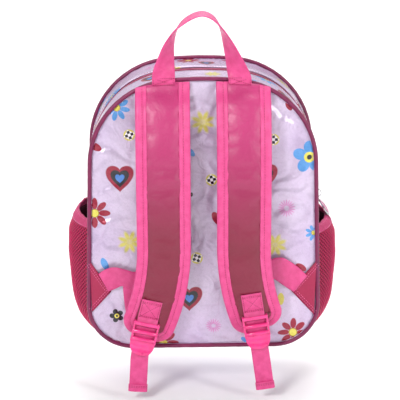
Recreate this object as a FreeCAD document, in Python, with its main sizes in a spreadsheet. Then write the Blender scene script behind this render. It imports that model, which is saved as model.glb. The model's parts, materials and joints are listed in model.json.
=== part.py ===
"""A child's school backpack: printed shell, padded straps, carry loop, zipped front and mesh side pockets.

Millimetres. +Z is up, +X is towards the zip pull, -Y is the side with the shoulder straps.
The origin is inside the top of the carry loop, where the bag hangs from a hook.
Bag coordinates, used in the helpers, start at the base line of the back panel's outer face.
"""
import FreeCAD, Part
import Sketcher
import math
import os

V = FreeCAD.Vector
DOC = FreeCAD.newDocument("SchoolBackpack")
SHEET = DOC.addObject("Spreadsheet::Sheet", "Sizes")

SIZES = {
    # shell
    "panel_width": 256.8, "panel_height": 308, "shoulder_width": 247.6, "bag_depth": 105,
    "base_radius": 48, "shoulder_radius": 95, "crown_radius": 410, "front_flare": 2.5,
    "shell_wall": 1.5, "lining_wall": 0.8, "foam_wall": 6, "part_gap": 0.4,
    "dome_depth": 12, "dome_inset": 24, "front_pad_wall": 2.5,
    "piping_radius": 2.4, "piping_offset": 1.2,
    "board_width": 150, "board_depth": 84, "board_wall": 2, "board_radius": 12,
    # zip
    "zip_offset": 50, "tape_width": 6, "tape_wall": 0.8, "coil_width": 1.5, "coil_height": 1.8,
    "coil_gap": 0.4, "split_height": 195, "zip_end_height": 158, "stop_height": 3,
    "slider_height": 178, "slider_length": 10, "slider_width": 8, "slider_wall": 1.4, "slider_gap": 0.8,
    "bail_radius": 2.2, "bail_wire": 0.7, "pull_gap": 0.15,
    "tab_length": 14, "tab_width": 6, "tab_wall": 1, "tab_hole": 2.2, "tab_slot": 2.6, "tab_window": 8,
    "ring_radius": 4.5, "ring_wire": 0.5,
    "charm_radius": 11.5, "charm_wall": 1.3, "charm_dome": 1.8, "charm_rim": 1.2, "charm_drop": 2.8,
    "charm_hole": 2.2, "charm_lug": 3, "charm_lean": 33,
    # side pockets
    "left_pocket_height": 150, "right_pocket_height": 141, "pocket_bulge": 25, "pocket_wall": 1.2, "pocket_inset": 2.6,
    "band_height": 11, "band_wall": 2.4,
    # carry loop
    "loop_half_span": 42.5, "loop_rise": 72, "loop_width": 26, "loop_wall": 2.2, "loop_standoff": 5,
    "loop_leg": 25, "loop_stub": 8, "loop_gap": 2.2,
    # shoulder straps
    "strap_spread": 44, "strap_width": 59.5, "strap_pad": 10, "strap_rim": 3, "strap_skin": 1,
    "binding_width": 7, "binding_wall": 5, "strap_top_gap": 8, "strap_top_offset": 6.5,
    "strap_bow": 34, "strap_apex": 195, "strap_foot_offset": 14, "strap_bend_height": 128,
    "strap_bend_radius": 265, "strap_tip_radius": 20,
    "left_tip_height": 15, "right_tip_height": 24,
    # strap adjusters
    "adjuster_width": 29, "adjuster_length": 38, "adjuster_wall": 3.8, "rail_width": 2.4,
    "bar_radius": 1.6, "bar_pitch": 13, "keeper_width": 24, "keeper_length": 27, "keeper_wall": 2.2,
    "hinge_gap": 0.1, "tongue_wall": 1.6,
    "left_bar_height": 36, "right_bar_height": 43, "left_bar_spread": 64, "right_bar_spread": 56.5,
    "left_lean": 13, "right_lean": 9, "left_tail_lean": 3.5, "right_tail_lean": 8,
    "web_width": 20, "web_wall": 1.6, "tail_length": 48, "tail_gap": 1.4, "hem_length": 17, "hem_wall": 4,
    # side tabs and anchor webbing
    "side_tab_top": 99, "side_tab_bottom": 41, "left_tab_reach": 22, "right_tab_reach": 27, "side_tab_drop": 35,
    "side_tab_wall": 2.2, "anchor_height": 90, "anchor_spread": 81,
}


def fill_sheet():
    for row, (alias, value) in enumerate(SIZES.items(), start=1):
        SHEET.set(f"A{row}", alias)
        SHEET.set(f"B{row}", str(value))
        SHEET.setAlias(f"B{row}", alias)
    DOC.recompute()


def size(alias):
    return float(getattr(SHEET, alias))


def hook_height():
    """Height of the loop's inside top above the base line."""
    return size("panel_height") + size("loop_rise")


HOOK = "(Sizes.panel_height + Sizes.loop_rise)"


def bag_place():
    """Placement that takes bag coordinates to the part's own frame."""
    return FreeCAD.Placement(V(0, size("loop_standoff"), -hook_height()), FreeCAD.Rotation())


# ---------------------------------------------------------------- outline of the shell

def outline_parts(inset):
    """Lines and arcs of the shell's outline, moved inwards by inset, anticlockwise in X and Z."""
    base_r, shoulder_r, crown_r = size("base_radius"), size("shoulder_radius"), size("crown_radius")
    base_x = size("panel_width") / 2 - base_r
    shoulder_x = size("shoulder_width") / 2 - shoulder_r
    crown_z = size("panel_height") - crown_r
    shoulder_z = crown_z + math.sqrt((crown_r - shoulder_r) ** 2 - shoulder_x ** 2)
    crown_angle = math.atan2(shoulder_z - crown_z, shoulder_x)
    rise, run = shoulder_z - base_r, shoulder_x - base_x
    side_angle = math.atan2(rise, run) - math.acos((base_r - shoulder_r) / math.hypot(rise, run))

    def arc(x, z, radius, start, end):
        circle = Part.Circle(V(x, z, 0), V(0, 0, 1), radius - inset)
        return Part.ArcOfCircle(circle, start, end)

    def at(x, z, radius, angle):
        reach = radius - inset
        return V(x + reach * math.cos(angle), z + reach * math.sin(angle), 0)

    left_angle = math.pi - side_angle
    return [
        Part.LineSegment(V(-base_x, inset, 0), V(base_x, inset, 0)),
        arc(base_x, base_r, base_r, -math.pi / 2, side_angle),
        Part.LineSegment(at(base_x, base_r, base_r, side_angle),
                         at(shoulder_x, shoulder_z, shoulder_r, side_angle)),
        arc(shoulder_x, shoulder_z, shoulder_r, side_angle, crown_angle),
        arc(0, crown_z, crown_r, crown_angle, math.pi - crown_angle),
        arc(-shoulder_x, shoulder_z, shoulder_r, math.pi - crown_angle, left_angle),
        Part.LineSegment(at(-shoulder_x, shoulder_z, shoulder_r, left_angle),
                         at(-base_x, base_r, base_r, left_angle)),
        arc(-base_x, base_r, base_r, left_angle, 3 * math.pi / 2),
    ]


def side_at(height):
    """Half-width of the shell's outline at a height, and the outward angle of its side there."""
    corner, side = outline_parts(0)[1:3]
    foot, top = side.StartPoint, side.EndPoint
    if height >= foot.y:
        share = (height - foot.y) / (top.y - foot.y)
        return foot.x + share * (top.x - foot.x)
    return corner.Center.x + math.sqrt(max(corner.Radius ** 2 - (corner.Center.y - height) ** 2, 0))


def plane_of(body, role):
    return next(item for item in body.Origin.OriginFeatures if item.Role == role)


def new_body(name):
    return DOC.addObject("PartDesign::Body", name)


def sketch_at(body, name, depth, height="0"):
    """Sketch facing the back, its origin on the centre line at a depth and height in bag coordinates."""
    sketch = body.newObject("Sketcher::SketchObject", name)
    sketch.AttachmentSupport = [(plane_of(body, "XZ_Plane"), "")]
    sketch.MapMode = "FlatFace"
    sketch.setExpression("AttachmentOffset.Base.y", f"{height} - {HOOK}")
    sketch.setExpression("AttachmentOffset.Base.z", f"-({depth}) - Sizes.loop_standoff")
    return sketch


def outline_sketch(body, name, inset, depth):
    """Closed outline of the shell, fully tied to the sheet; inset and depth are sheet expressions."""
    sketch = sketch_at(body, name, depth)
    inset_value = FreeCAD.Units.Quantity(str(evaluate(inset))).Value
    sketch.addGeometry(outline_parts(inset_value), False)
    count = len(sketch.Geometry)
    for index in range(count):
        sketch.addConstraint(Sketcher.Constraint("Tangent", index, 2, (index + 1) % count, 1))
    base_x = "Sizes.panel_width / 2 - Sizes.base_radius"
    shoulder_x = "Sizes.shoulder_width / 2 - Sizes.shoulder_radius"
    arcs = {1: ("base_radius", base_x, 1), 7: ("base_radius", base_x, -1),
            3: ("shoulder_radius", shoulder_x, 1), 5: ("shoulder_radius", shoulder_x, -1)}
    for index, (radius, centre, side) in arcs.items():
        add_size(sketch, "Radius", (index,), f"Sizes.{radius} - ({inset})")
        ends = (-1, 1, index, 3) if side > 0 else (index, 3, -1, 1)
        add_size(sketch, "DistanceX", ends, centre)
    add_size(sketch, "Radius", (4,), f"Sizes.crown_radius - ({inset})")
    add_size(sketch, "DistanceY", (4, 3, -1, 1), "Sizes.crown_radius - Sizes.panel_height")
    sketch.addConstraint(Sketcher.Constraint("PointOnObject", 4, 3, -2))
    add_size(sketch, "DistanceY", (-1, 1, 1, 3), "Sizes.base_radius")
    sketch.addConstraint(Sketcher.Constraint("Horizontal", 0))
    return sketch


def evaluate(expression):
    """Value of a sheet expression."""
    plain = expression
    for alias in sorted(SIZES, key=len, reverse=True):
        plain = plain.replace(f"Sizes.{alias}", str(size(alias)))
    return FreeCAD.Units.parseQuantity(plain).Value


def add_size(sketch, kind, ends, expression):
    index = sketch.addConstraint(Sketcher.Constraint(kind, *ends, evaluate(expression)))
    sketch.setExpression(f"Constraints[{index}]", expression)


def block(name, inset, start, end, end_inset=None):
    """Solid between two outlines; inset, start and end are sheet expressions in bag depth."""
    body = new_body(name)
    flare = "Sizes.front_flare / Sizes.bag_depth"
    first = outline_sketch(body, f"{name}_rear", f"{inset} - ({start}) * {flare}", start)
    last = outline_sketch(body, f"{name}_front", end_inset or f"{inset} - ({end}) * {flare}", end)
    loft = body.newObject("PartDesign::AdditiveLoft", f"{name}_loft")
    loft.Profile = first
    loft.Sections = [last]
    loft.Ruled = True
    return body


def cut(name, base, tool):
    result = DOC.addObject("Part::Cut", name)
    result.Base = base
    result.Tool = tool
    return result


def common(name, base, tool):
    result = DOC.addObject("Part::Common", name)
    result.Base = base
    result.Tool = tool
    return result


def fuse(name, pieces):
    result = DOC.addObject("Part::MultiFuse", name)
    result.Shapes = pieces
    return result


def zone(name, width="Sizes.panel_width * 2", depth=("-20", "Sizes.bag_depth + 60"),
         height=("-20", "Sizes.panel_height + 60"), centre="0"):
    """Box in bag coordinates whose faces follow the sheet."""
    box = DOC.addObject("Part::Box", name)
    box.setExpression("Length", width)
    box.setExpression("Width", f"{depth[1]} - ({depth[0]})")
    box.setExpression("Height", f"{height[1]} - ({height[0]})")
    box.setExpression("Placement.Base.x", f"{centre} - ({width}) / 2")
    box.setExpression("Placement.Base.y", f"{depth[0]} + Sizes.loop_standoff")
    box.setExpression("Placement.Base.z", f"{height[0]} - {HOOK}")
    return box


def shape_node(name, shape):
    """Sub-part whose shape is built in bag coordinates."""
    node = DOC.addObject("Part::Feature", name)
    node.Shape = shape
    node.Placement = bag_place().multiply(shape.Placement)
    return node


# ---------------------------------------------------------------- shell, zip and front

BELOW = ("-20", "Sizes.split_height")
ABOVE = ("Sizes.split_height + Sizes.part_gap", "Sizes.panel_height + 60")
ZIP_REAR = "Sizes.zip_offset - Sizes.tape_width - Sizes.coil_width - Sizes.coil_gap / 2"
ZIP_FRONT = "Sizes.zip_offset + Sizes.tape_width + Sizes.coil_width + Sizes.coil_gap / 2"
COIL_REAR = "Sizes.zip_offset - Sizes.coil_width - Sizes.coil_gap / 2"
COIL_FRONT = "Sizes.zip_offset + Sizes.coil_width + Sizes.coil_gap / 2"
TEETH_REAR = "Sizes.zip_offset - Sizes.coil_gap / 2"
TEETH_FRONT = "Sizes.zip_offset + Sizes.coil_gap / 2"


def pad_slab(name, inset, start, end):
    """Flat panel with the shell's outline."""
    body = new_body(name)
    sketch = outline_sketch(body, f"{name}_outline", inset, start)
    pad = body.newObject("PartDesign::Pad", f"{name}_pad")
    pad.Profile = sketch
    pad.Reversed = True
    pad.setExpression("Length", f"{end} - ({start})")
    return body


def make_back():
    lining = "Sizes.shell_wall + Sizes.foam_wall"
    return [pad_slab("back_panel", "0", "0", "Sizes.shell_wall"),
            pad_slab("back_foam", "Sizes.shell_wall + 0.2", "Sizes.shell_wall", lining),
            pad_slab("back_lining", "Sizes.shell_wall + 0.2", lining, f"{lining} + Sizes.lining_wall")]


def ring(name, outer, inner, start, end):
    """Band of the shell between two insets and two depths, all round the outline."""
    return cut(name, block(f"{name}_outer", outer, start, end),
               block(f"{name}_inner", inner, f"{start} - 1", f"{end} + 1"))


def make_gusset():
    shell = ring("gusset_ring", "0", "Sizes.shell_wall", "Sizes.shell_wall", "Sizes.bag_depth")
    slot = zone("zip_slot", depth=(ZIP_REAR, ZIP_FRONT), height=("Sizes.zip_end_height", "Sizes.panel_height"))
    lower = common("gusset_low", shell, zone("gusset_low_zone", height=BELOW))
    lining = ring("lining_ring", "Sizes.shell_wall", "Sizes.shell_wall + Sizes.lining_wall",
                  "Sizes.shell_wall + Sizes.foam_wall + Sizes.lining_wall", "Sizes.bag_depth")
    lining_low = common("lining_low", lining, zone("lining_low_zone", height=BELOW))
    lining_rear = common("lining_rear", lining,
                         zone("lining_rear_zone", height=("Sizes.split_height", ABOVE[1]), depth=("-20", ZIP_REAR)))
    return [cut("gusset_lower", lower, slot),
            common("gusset_upper_rear", shell,
                   zone("gusset_rear_zone", height=("Sizes.split_height", ABOVE[1]), depth=("-20", ZIP_REAR))),
            common("gusset_upper_front", shell,
                   zone("gusset_front_zone", height=ABOVE, depth=(ZIP_FRONT, "Sizes.bag_depth + 1"))),
            fuse("gusset_lining", [lining_low, lining_rear])]


def make_zip():
    """Tapes and coils: the rear half stays, the front half opens, and both stay shut at the ends."""
    tape = ring("tape_ring", "0.3", "0.3 + Sizes.tape_wall", "Sizes.shell_wall", "Sizes.bag_depth")
    coil = ring("coil_ring", "-0.3", "Sizes.coil_height - 0.3", "Sizes.shell_wall", "Sizes.bag_depth")
    upper_rear = ("Sizes.split_height", ABOVE[1])
    ends = ("Sizes.zip_end_height", "Sizes.split_height")
    nodes = [
        common("zip_tape_rear", tape, zone("tape_rear_zone", height=upper_rear, depth=(ZIP_REAR, COIL_REAR))),
        common("zip_coil_rear", coil, zone("coil_rear_zone", height=upper_rear, depth=(COIL_REAR, TEETH_REAR))),
        common("zip_tape_front", tape, zone("tape_front_zone", height=ABOVE, depth=(COIL_FRONT, ZIP_FRONT))),
        common("zip_coil_front", coil, zone("coil_front_zone", height=ABOVE, depth=(TEETH_FRONT, COIL_FRONT))),
    ]
    end_tape = common("end_tape", tape, zone("end_tape_zone", height=ends, depth=(ZIP_REAR, ZIP_FRONT)))
    end_coil = common("end_coil", coil,
                      zone("end_coil_zone", height=(f"{ends[0]} + Sizes.stop_height", ends[1]),
                           depth=(COIL_REAR, COIL_FRONT)))
    nodes.append(fuse("zip_end_tapes", [end_tape, end_coil]))
    stop_ring = ring("stop_ring", "-1.2", "0.3", "Sizes.shell_wall", "Sizes.bag_depth")
    stop_height = ("Sizes.zip_end_height", "Sizes.zip_end_height + Sizes.stop_height")
    nodes.append(common("zip_stops", stop_ring,
                        zone("stop_zone", height=stop_height, depth=(f"{COIL_REAR} - 1", f"{COIL_FRONT} + 1"))))
    return nodes


def dome(name, skin):
    """Solid under the domed front, skin mm inside its outer face."""
    flare = "Sizes.front_flare"
    body = new_body(name)
    wide = outline_sketch(body, f"{name}_wide", f"{skin} - {flare}", "Sizes.bag_depth")
    narrow = outline_sketch(body, f"{name}_narrow", f"Sizes.dome_inset + {skin}",
                            f"Sizes.bag_depth + Sizes.dome_depth - ({skin})")
    loft = body.newObject("PartDesign::AdditiveLoft", f"{name}_loft")
    loft.Profile = wide
    loft.Sections = [narrow]
    loft.Ruled = True
    return body


def make_front():
    outer = dome("front_dome", "0")
    middle = dome("front_dome_skin", "Sizes.shell_wall")
    inner = dome("front_dome_pad", "(Sizes.shell_wall + Sizes.front_pad_wall)")
    skin = cut("front_skin", outer, middle)
    lining = cut("front_pad", middle, inner)
    nodes = []
    for label, source in (("front_panel", skin), ("front_padding", lining)):
        nodes.append(common(f"{label}_lower", source, zone(f"{label}_low_zone", height=BELOW)))
        nodes.append(common(f"{label}_upper", source, zone(f"{label}_high_zone", height=ABOVE)))
    return nodes


def piping(name, inset, depth):
    """Corded piping all round an outline."""
    body = new_body(name)
    path = outline_sketch(body, f"{name}_path", inset, depth)
    profile = body.newObject("Sketcher::SketchObject", f"{name}_profile")
    profile.AttachmentSupport = [(plane_of(body, "YZ_Plane"), "")]
    profile.MapMode = "FlatFace"
    start_x = "Sizes.base_radius - Sizes.panel_width / 2"
    profile.setExpression("AttachmentOffset.Base.x", f"{depth} + Sizes.loop_standoff")
    profile.setExpression("AttachmentOffset.Base.y", f"{inset} - {HOOK}")
    profile.setExpression("AttachmentOffset.Base.z", start_x)
    profile.addGeometry(Part.Circle(V(0, 0, 0), V(0, 0, 1), size("piping_radius")), False)
    profile.addConstraint(Sketcher.Constraint("Coincident", 0, 3, -1, 1))
    add_size(profile, "Radius", (0,), "Sizes.piping_radius")
    pipe = body.newObject("PartDesign::AdditivePipe", f"{name}_pipe")
    pipe.Profile = profile
    pipe.Spine = (path, [f"Edge{index}" for index in range(1, len(path.Geometry) + 1)])
    return body


def make_piping():
    back_body = block("piping_back_seat", "0", "0", "Sizes.bag_depth")
    back = cut("back_piping", piping("back_cord", "-Sizes.piping_offset", "-0.6"), back_body)
    cord = piping("front_cord", "-Sizes.piping_offset - Sizes.front_flare", "Sizes.bag_depth + 0.6")
    front = cut("front_cord_seated", cut("front_cord_clear", cord, back_body), dome("piping_front_seat", "0"))
    return [back,
            common("front_piping_lower", front, zone("piping_low_zone", height=BELOW)),
            common("front_piping_upper", front, zone("piping_high_zone", height=ABOVE))]


def make_base_board():
    """Stiff board lying on the lining of the base."""
    body = new_body("base_board")
    sketch = sketch_at(body, "base_board_side", "(Sizes.bag_depth - Sizes.board_depth) / 2 + 4",
                       "Sizes.shell_wall + Sizes.lining_wall + Sizes.board_wall / 2 + 0.1")
    half, thick = size("board_width") / 2, size("board_wall") / 2
    corners = [V(-half, -thick, 0), V(half, -thick, 0), V(half, thick, 0), V(-half, thick, 0)]
    for index in range(4):
        sketch.addGeometry(Part.LineSegment(corners[index], corners[(index + 1) % 4]), False)
    for index in range(4):
        sketch.addConstraint(Sketcher.Constraint("Coincident", index, 2, (index + 1) % 4, 1))
        sketch.addConstraint(Sketcher.Constraint("Vertical" if index % 2 else "Horizontal", index))
    sketch.addConstraint(Sketcher.Constraint("Symmetric", 0, 1, 2, 1, -1, 1))
    add_size(sketch, "DistanceX", (0, 1, 0, 2), "Sizes.board_width")
    add_size(sketch, "DistanceY", (1, 1, 1, 2), "Sizes.board_wall")
    pad = body.newObject("PartDesign::Pad", "base_board_pad")
    pad.Profile = sketch
    pad.Reversed = True
    pad.setExpression("Length", "Sizes.board_depth")
    DOC.recompute()
    upright = [f"Edge{number}" for number, edge in enumerate(pad.Shape.Edges, start=1)
               if abs(edge.tangentAt(edge.FirstParameter).z) > 0.9]
    rounding = body.newObject("PartDesign::Fillet", "base_board_corners")
    rounding.Base = (pad, upright)
    rounding.setExpression("Radius", "Sizes.board_radius")
    return [body]


# ---------------------------------------------------------------- side pockets and tabs

# share of the pocket's height, share of its bulge at mid depth
POCKET_FORM = [(0.01, 0.66), (0.05, 0.7), (0.11, 0.7), (0.24, 0.72), (0.42, 0.86), (0.68, 1.0), (0.85, 0.96),
               (0.93, 0.8), (1.0, 0.54)]


def pocket_section(side, height, bulge, inset):
    """Bowed closed wire at one height, its straight side hidden inside the shell."""
    rear, front = size("pocket_inset") + inset, size("bag_depth") - size("pocket_inset") - inset
    root = side_at(height) - 0.5
    inner = root - 8
    middle = V(side * (root + bulge), (rear + front) / 2, height)
    low, high = V(side * root, rear, height), V(side * root, front, height)
    edges = [Part.Arc(low, middle, high).toShape()]
    chain = [high, V(side * inner, front, height), V(side * inner, rear, height), low]
    edges += [Part.makeLine(start, end) for start, end in zip(chain, chain[1:])]
    return Part.Wire(edges)


def pocket_solid(side, tall, inset, levels, top=None):
    wires = []
    for share, bulge in levels:
        height = share * tall
        wires.append(pocket_section(side, height, bulge * size("pocket_bulge") - inset, inset))
    if top:
        wires[-1] = pocket_section(side, top, levels[-1][1] * size("pocket_bulge") - inset, inset)
    return Part.makeLoft(wires, True, True)


def shell_solid(inset=0.0):
    """Solid of the shell between its two outlines, for cutting what is sewn to it."""
    slope = size("front_flare") / size("bag_depth")
    wires = []
    for offset in (-10.0, size("bag_depth") + 10.0):
        wire = Part.Wire([part.toShape() for part in outline_parts(inset - offset * slope)])
        wire.rotate(V(0, 0, 0), V(1, 0, 0), 90)
        wire.translate(V(0, offset, 0))
        wires.append(wire)
    return Part.makeLoft(wires, True, True)


def make_pockets():
    nodes = []
    shell = shell_solid(-0.05)
    rim_bulge, mouth_bulge = POCKET_FORM[-2][1], POCKET_FORM[-1][1]
    for label, side in (("left", -1), ("right", 1)):
        tall = size(f"{label}_pocket_height")
        rim_share = 1 - size("band_height") / tall
        levels = [level for level in POCKET_FORM if level[0] < rim_share - 0.03] + [(rim_share, rim_bulge)]
        outer = pocket_solid(side, tall, 0, levels)
        lifted = [(share + (0.012 if index == 0 else 0), bulge) for index, (share, bulge) in enumerate(levels)]
        inner = pocket_solid(side, tall, size("pocket_wall"), lifted, rim_share * tall + 0.5)
        nodes.append(shape_node(f"pocket_mesh_{label}", outer.cut(inner).cut(shell)))
        band_out = pocket_solid(side, tall, 0, [(rim_share, rim_bulge), (1.0, mouth_bulge)])
        wall = size("band_wall")
        low = pocket_section(side, rim_share * tall - 0.5, rim_bulge * size("pocket_bulge") - wall, wall)
        high = pocket_section(side, tall + 0.5, mouth_bulge * size("pocket_bulge") - wall, wall)
        band_in = Part.makeLoft([low, high], True, True)
        nodes.append(shape_node(f"pocket_band_{label}", band_out.cut(band_in).cut(shell)))
    return nodes


def prism(points, start, depth):
    """Polygon in X and Z, thickened along Y from start."""
    wire = Part.makePolygon([V(x, start, z) for x, z in points + points[:1]])
    return Part.Face(wire).extrude(V(0, depth, 0))


def make_side_tabs():
    """Folded triangles sewn into the side seams, which hold the strap webbing."""
    nodes = []
    top, bottom = size("side_tab_top"), size("side_tab_bottom")
    for label, side in (("left", -1), ("right", 1)):
        edge = side_at(top) - 1.5
        points = [(side * edge, top), (side * (edge - size(f"{label}_tab_reach")), top - size("side_tab_drop")),
                  (side * (side_at(bottom) - 1.5), bottom)]
        nodes.append(shape_node(f"side_tab_{label}", prism(points, -0.05 - size("side_tab_wall"),
                                                           size("side_tab_wall"))))
    return nodes


def strip(start, end, width, wall, lean):
    """Flat webbing between two points; lean is the direction of its width in X and Z."""
    run = end - start
    across = V(*lean).normalize()
    across = (across - run * (across.dot(run) / run.dot(run))).normalize()
    normal = run.cross(across).normalize()
    corners = [start + across * (side * width / 2) + normal * (face * wall / 2)
               for side, face in ((-1, -1), (1, -1), (1, 1), (-1, 1))]
    return Part.Face(Part.makePolygon(corners + corners[:1])).extrude(run)


def make_anchor_webs():
    """Webbing from each side tab, turned down behind the strap towards its adjuster."""
    nodes = []
    wall, width = size("web_wall"), size("web_width")
    for label, side in (("left", -1), ("right", 1)):
        edge = side_at(size("side_tab_top")) - size(f"{label}_tab_reach") * 0.72
        height = size("side_tab_top") - size("side_tab_drop") * 0.72
        start = V(side * edge, -3.4, height + 2)
        turn = V(side * (size("anchor_spread") - 2), -5.6, size("anchor_height"))
        foot = V(side * size("anchor_spread"), -9.4, size(f"{label}_bar_height"))
        across = V(side * 0.45, 0, 0.9)
        first = strip(start, turn, width, wall, across)
        second = strip(V(turn.x, turn.y, turn.z + width / 3), foot, width * 0.8, wall, V(1, 0, 0))
        nodes.append(shape_node(f"anchor_web_{label}", first.fuse(second).removeSplitter()))
    return nodes


# ---------------------------------------------------------------- carry loop

def loop_section(x, z, angle, twist, width, wall):
    """Webbing section: angle is the path's outward normal in X and Z, twist turns the width towards Y."""
    out = V(math.cos(angle), 0, math.sin(angle))
    across = out * math.cos(twist) + V(0, 1, 0) * math.sin(twist)
    along = V(math.sin(angle), 0, -math.cos(angle))
    normal = along.cross(across)
    centre = V(x, -size("loop_standoff"), z)
    corners = [centre + across * (side * width / 2) + normal * (face * wall / 2)
               for side, face in ((-1, -1), (1, -1), (1, 1), (-1, 1))]
    return Part.makePolygon(corners + corners[:1])


def seam_height():
    """Top of the back seam where the loop's legs cross it."""
    crown = size("crown_radius")
    drop = crown - math.sqrt(crown ** 2 - size("loop_half_span") ** 2)
    return size("panel_height") - drop + size("piping_offset") + size("piping_radius")


def make_carry_loop():
    width, wall, span = size("loop_width"), size("loop_wall"), size("loop_half_span")
    foot = seam_height() + size("loop_gap")
    shoulder = foot + size("loop_leg")
    rise = hook_height() + wall / 2 - shoulder
    stations = [(-span, foot, math.pi, 0.0)]
    steps = 12
    for step in range(steps + 1):
        turn = math.pi * (1 - step / steps)
        outward = math.atan2(span * math.sin(turn), rise * math.cos(turn))
        twist = math.pi / 2 * min(1.0, 0.35 + 1.15 * math.sin(turn))
        stations.append((span * math.cos(turn), shoulder + rise * math.sin(turn), outward, twist))
    stations.append((span, foot, 0.0, 0.0))
    wires = [loop_section(x, z, angle, twist, width, wall) for x, z, angle, twist in stations]
    loop = shape_node("handle_webbing", Part.makeLoft(wires, True, True))
    stubs = []
    for side in (-1, 1):
        low = foot - size("loop_gap") - size("loop_stub")
        stub = Part.makeBox(width, wall, size("loop_stub"), V(side * span - width / 2,
                                                              -size("loop_standoff") - wall / 2, low))
        stubs.append(stub)
    return [loop, shape_node("handle_ends", Part.makeCompound(stubs))]


# ---------------------------------------------------------------- shoulder straps

def strap_middle(height):
    """Depth of the strap's middle surface at a height: two arcs that meet upright at the apex."""
    bow, apex = size("strap_bow"), size("strap_apex")
    end_height = strap_top() if height > apex else size("left_tip_height")
    end_depth = size("strap_top_offset") if height > apex else size("strap_foot_offset")
    reach, fall = end_height - apex, bow - end_depth
    radius = (reach ** 2 + fall ** 2) / (2 * fall)
    return -bow + radius - math.sqrt(radius ** 2 - (height - apex) ** 2)


def strap_top():
    return size("panel_height") - size("strap_top_gap")


def side_band(inner, outer, low, high):
    """Slab that follows the strap's bow, from inner to outer mm off its middle, across the bag."""
    half = size("panel_width") / 2
    apex = size("strap_apex")

    def curve(offset):
        heights = [low, (low + apex) / 2, apex, (apex + high) / 2, high]
        dots = []
        for height in heights:
            step = 0.5
            slope = (strap_middle(min(height + step, strap_top())) - strap_middle(max(height - step, low)))
            slope /= min(height + step, strap_top()) - max(height - step, low)
            scale = math.hypot(1, slope)
            dots.append(V(-half, strap_middle(height) - offset / scale, height + offset * slope / scale))
        return [Part.Arc(*dots[:3]).toShape(), Part.Arc(*dots[2:]).toShape()]

    near, far = curve(inner), curve(outer)
    near_low, near_high = near[0].Vertexes[0].Point, near[1].Vertexes[-1].Point
    far_low, far_high = far[0].Vertexes[0].Point, far[1].Vertexes[-1].Point
    edges = near + [Part.makeLine(near_high, far_high)] + far[::-1] + [Part.makeLine(far_low, near_low)]
    face = Part.Face(Part.Wire(Part.__sortEdges__(edges)))
    return face.extrude(V(2 * half, 0, 0))


def strap_plan(side, tip, inset):
    """Upright prism of the strap's outline: straight, then curving outwards to a rounded tip."""
    half = size("strap_width") / 2 - inset
    bend, radius = size("strap_bend_height"), size("strap_bend_radius")
    centre_x = size("strap_spread") + radius
    lean = math.asin((bend - tip - inset) / radius)

    def at(offset, angle):
        reach = radius + offset
        return V(side * (centre_x - reach * math.cos(angle)), -60, bend - reach * math.sin(angle))

    top = strap_top()
    tip_radius = max(size("strap_tip_radius") - inset, 4)
    edges = []
    for offset in (half, -half):
        start = V(side * (size("strap_spread") - offset), -60, top)
        edges.append(Part.makeLine(start, at(offset, 0)))
        edges.append(Part.Arc(at(offset, 0), at(offset, lean / 2), at(offset, lean)).toShape())
    edges.append(Part.makeLine(at(half, lean), at(-half, lean)))
    edges.append(Part.makeLine(V(side * (size("strap_spread") - half), -60, top),
                               V(side * (size("strap_spread") + half), -60, top)))
    solid = Part.Face(Part.Wire(Part.__sortEdges__(edges))).extrude(V(0, 70, 0))
    ends = [at(half, lean), at(-half, lean)]
    corners = []
    for edge in solid.Edges:
        point = edge.Vertexes[0].Point
        upright = abs(edge.tangentAt(edge.FirstParameter).y) > 0.99
        if upright and any(math.hypot(point.x - end.x, point.z - end.z) < 0.1 for end in ends):
            corners.append(edge)
    return solid.makeFillet(tip_radius, corners)


def make_strap(label, side):
    pad, rim, skin = size("strap_pad"), size("strap_rim"), size("strap_skin")
    binding, tip = size("binding_width"), size(f"{label}_tip_height")
    low, high = size("left_tip_height") - 4, strap_top()

    def slab(thickness, inset):
        return side_band(-thickness / 2, thickness / 2, low, high).common(strap_plan(side, tip, inset))

    foam = slab(pad - 2 * skin, binding + skin)
    body = slab(pad, binding).fuse(slab(rim, 1.0))
    cover = body.cut(foam).removeSplitter()
    trim = slab(size("binding_wall"), 0).cut(slab(size("binding_wall") + 4, binding + 0.01)).cut(body)
    return [shape_node(f"strap_foam_{label}", foam), shape_node(f"strap_cover_{label}", cover),
            shape_node(f"strap_binding_{label}", trim)]


def adjuster_place(label, side):
    """Where the adjuster's upper bar sits, clear of the strap's outer face, and how it leans."""
    height = size(f"{label}_bar_height")
    depth = strap_middle(height) - size("strap_pad") / 2 - size("adjuster_wall") / 2 - 1.6
    lean = FreeCAD.Rotation(V(0, 1, 0), side * size(f"{label}_lean") * -1)
    return V(side * size(f"{label}_bar_spread"), depth, height), lean


def leaning(shape, label, side, lean=None):
    """A shape drawn round the upper bar, turned and moved to its place."""
    centre, turn = adjuster_place(label, side)
    shape.Placement = FreeCAD.Placement(centre, lean or turn)
    return shape


def bar(length, radius, depth, height):
    return Part.makeCylinder(radius, length, V(-length / 2, depth, height), V(1, 0, 0))


def make_keeper(label, side):
    """Webbing sewn to the strap's face and looped round the adjuster's upper bar."""
    centre, turn = adjuster_place(label, side)
    wall, width = size("keeper_wall"), size("keeper_width")
    half = width / 2
    low, high = 1.5, size("keeper_length") + 3
    points = [turn.multVec(V(x, 0, z)) for x, z in ((-half, low), (half, low), (half, high), (-half, high))]
    plan = prism([(centre.x + point.x, centre.z + point.z) for point in points], -70, 70)
    face = size("strap_pad") / 2 + 0.02
    plate = side_band(face, face + wall, size("left_tip_height") - 4, strap_top()).common(plan)
    bore = size("bar_radius") + size("hinge_gap")
    eye = bar(width, bore + 1.0, 0, 0).cut(bar(width + 1, bore, 0, 0))
    eye = leaning(eye, label, side)
    hole = leaning(bar(width + 1, bore, 0, 0), label, side)
    return shape_node(f"adjuster_keeper_{label}", plate.fuse(eye).cut(hole).removeSplitter())


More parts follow.
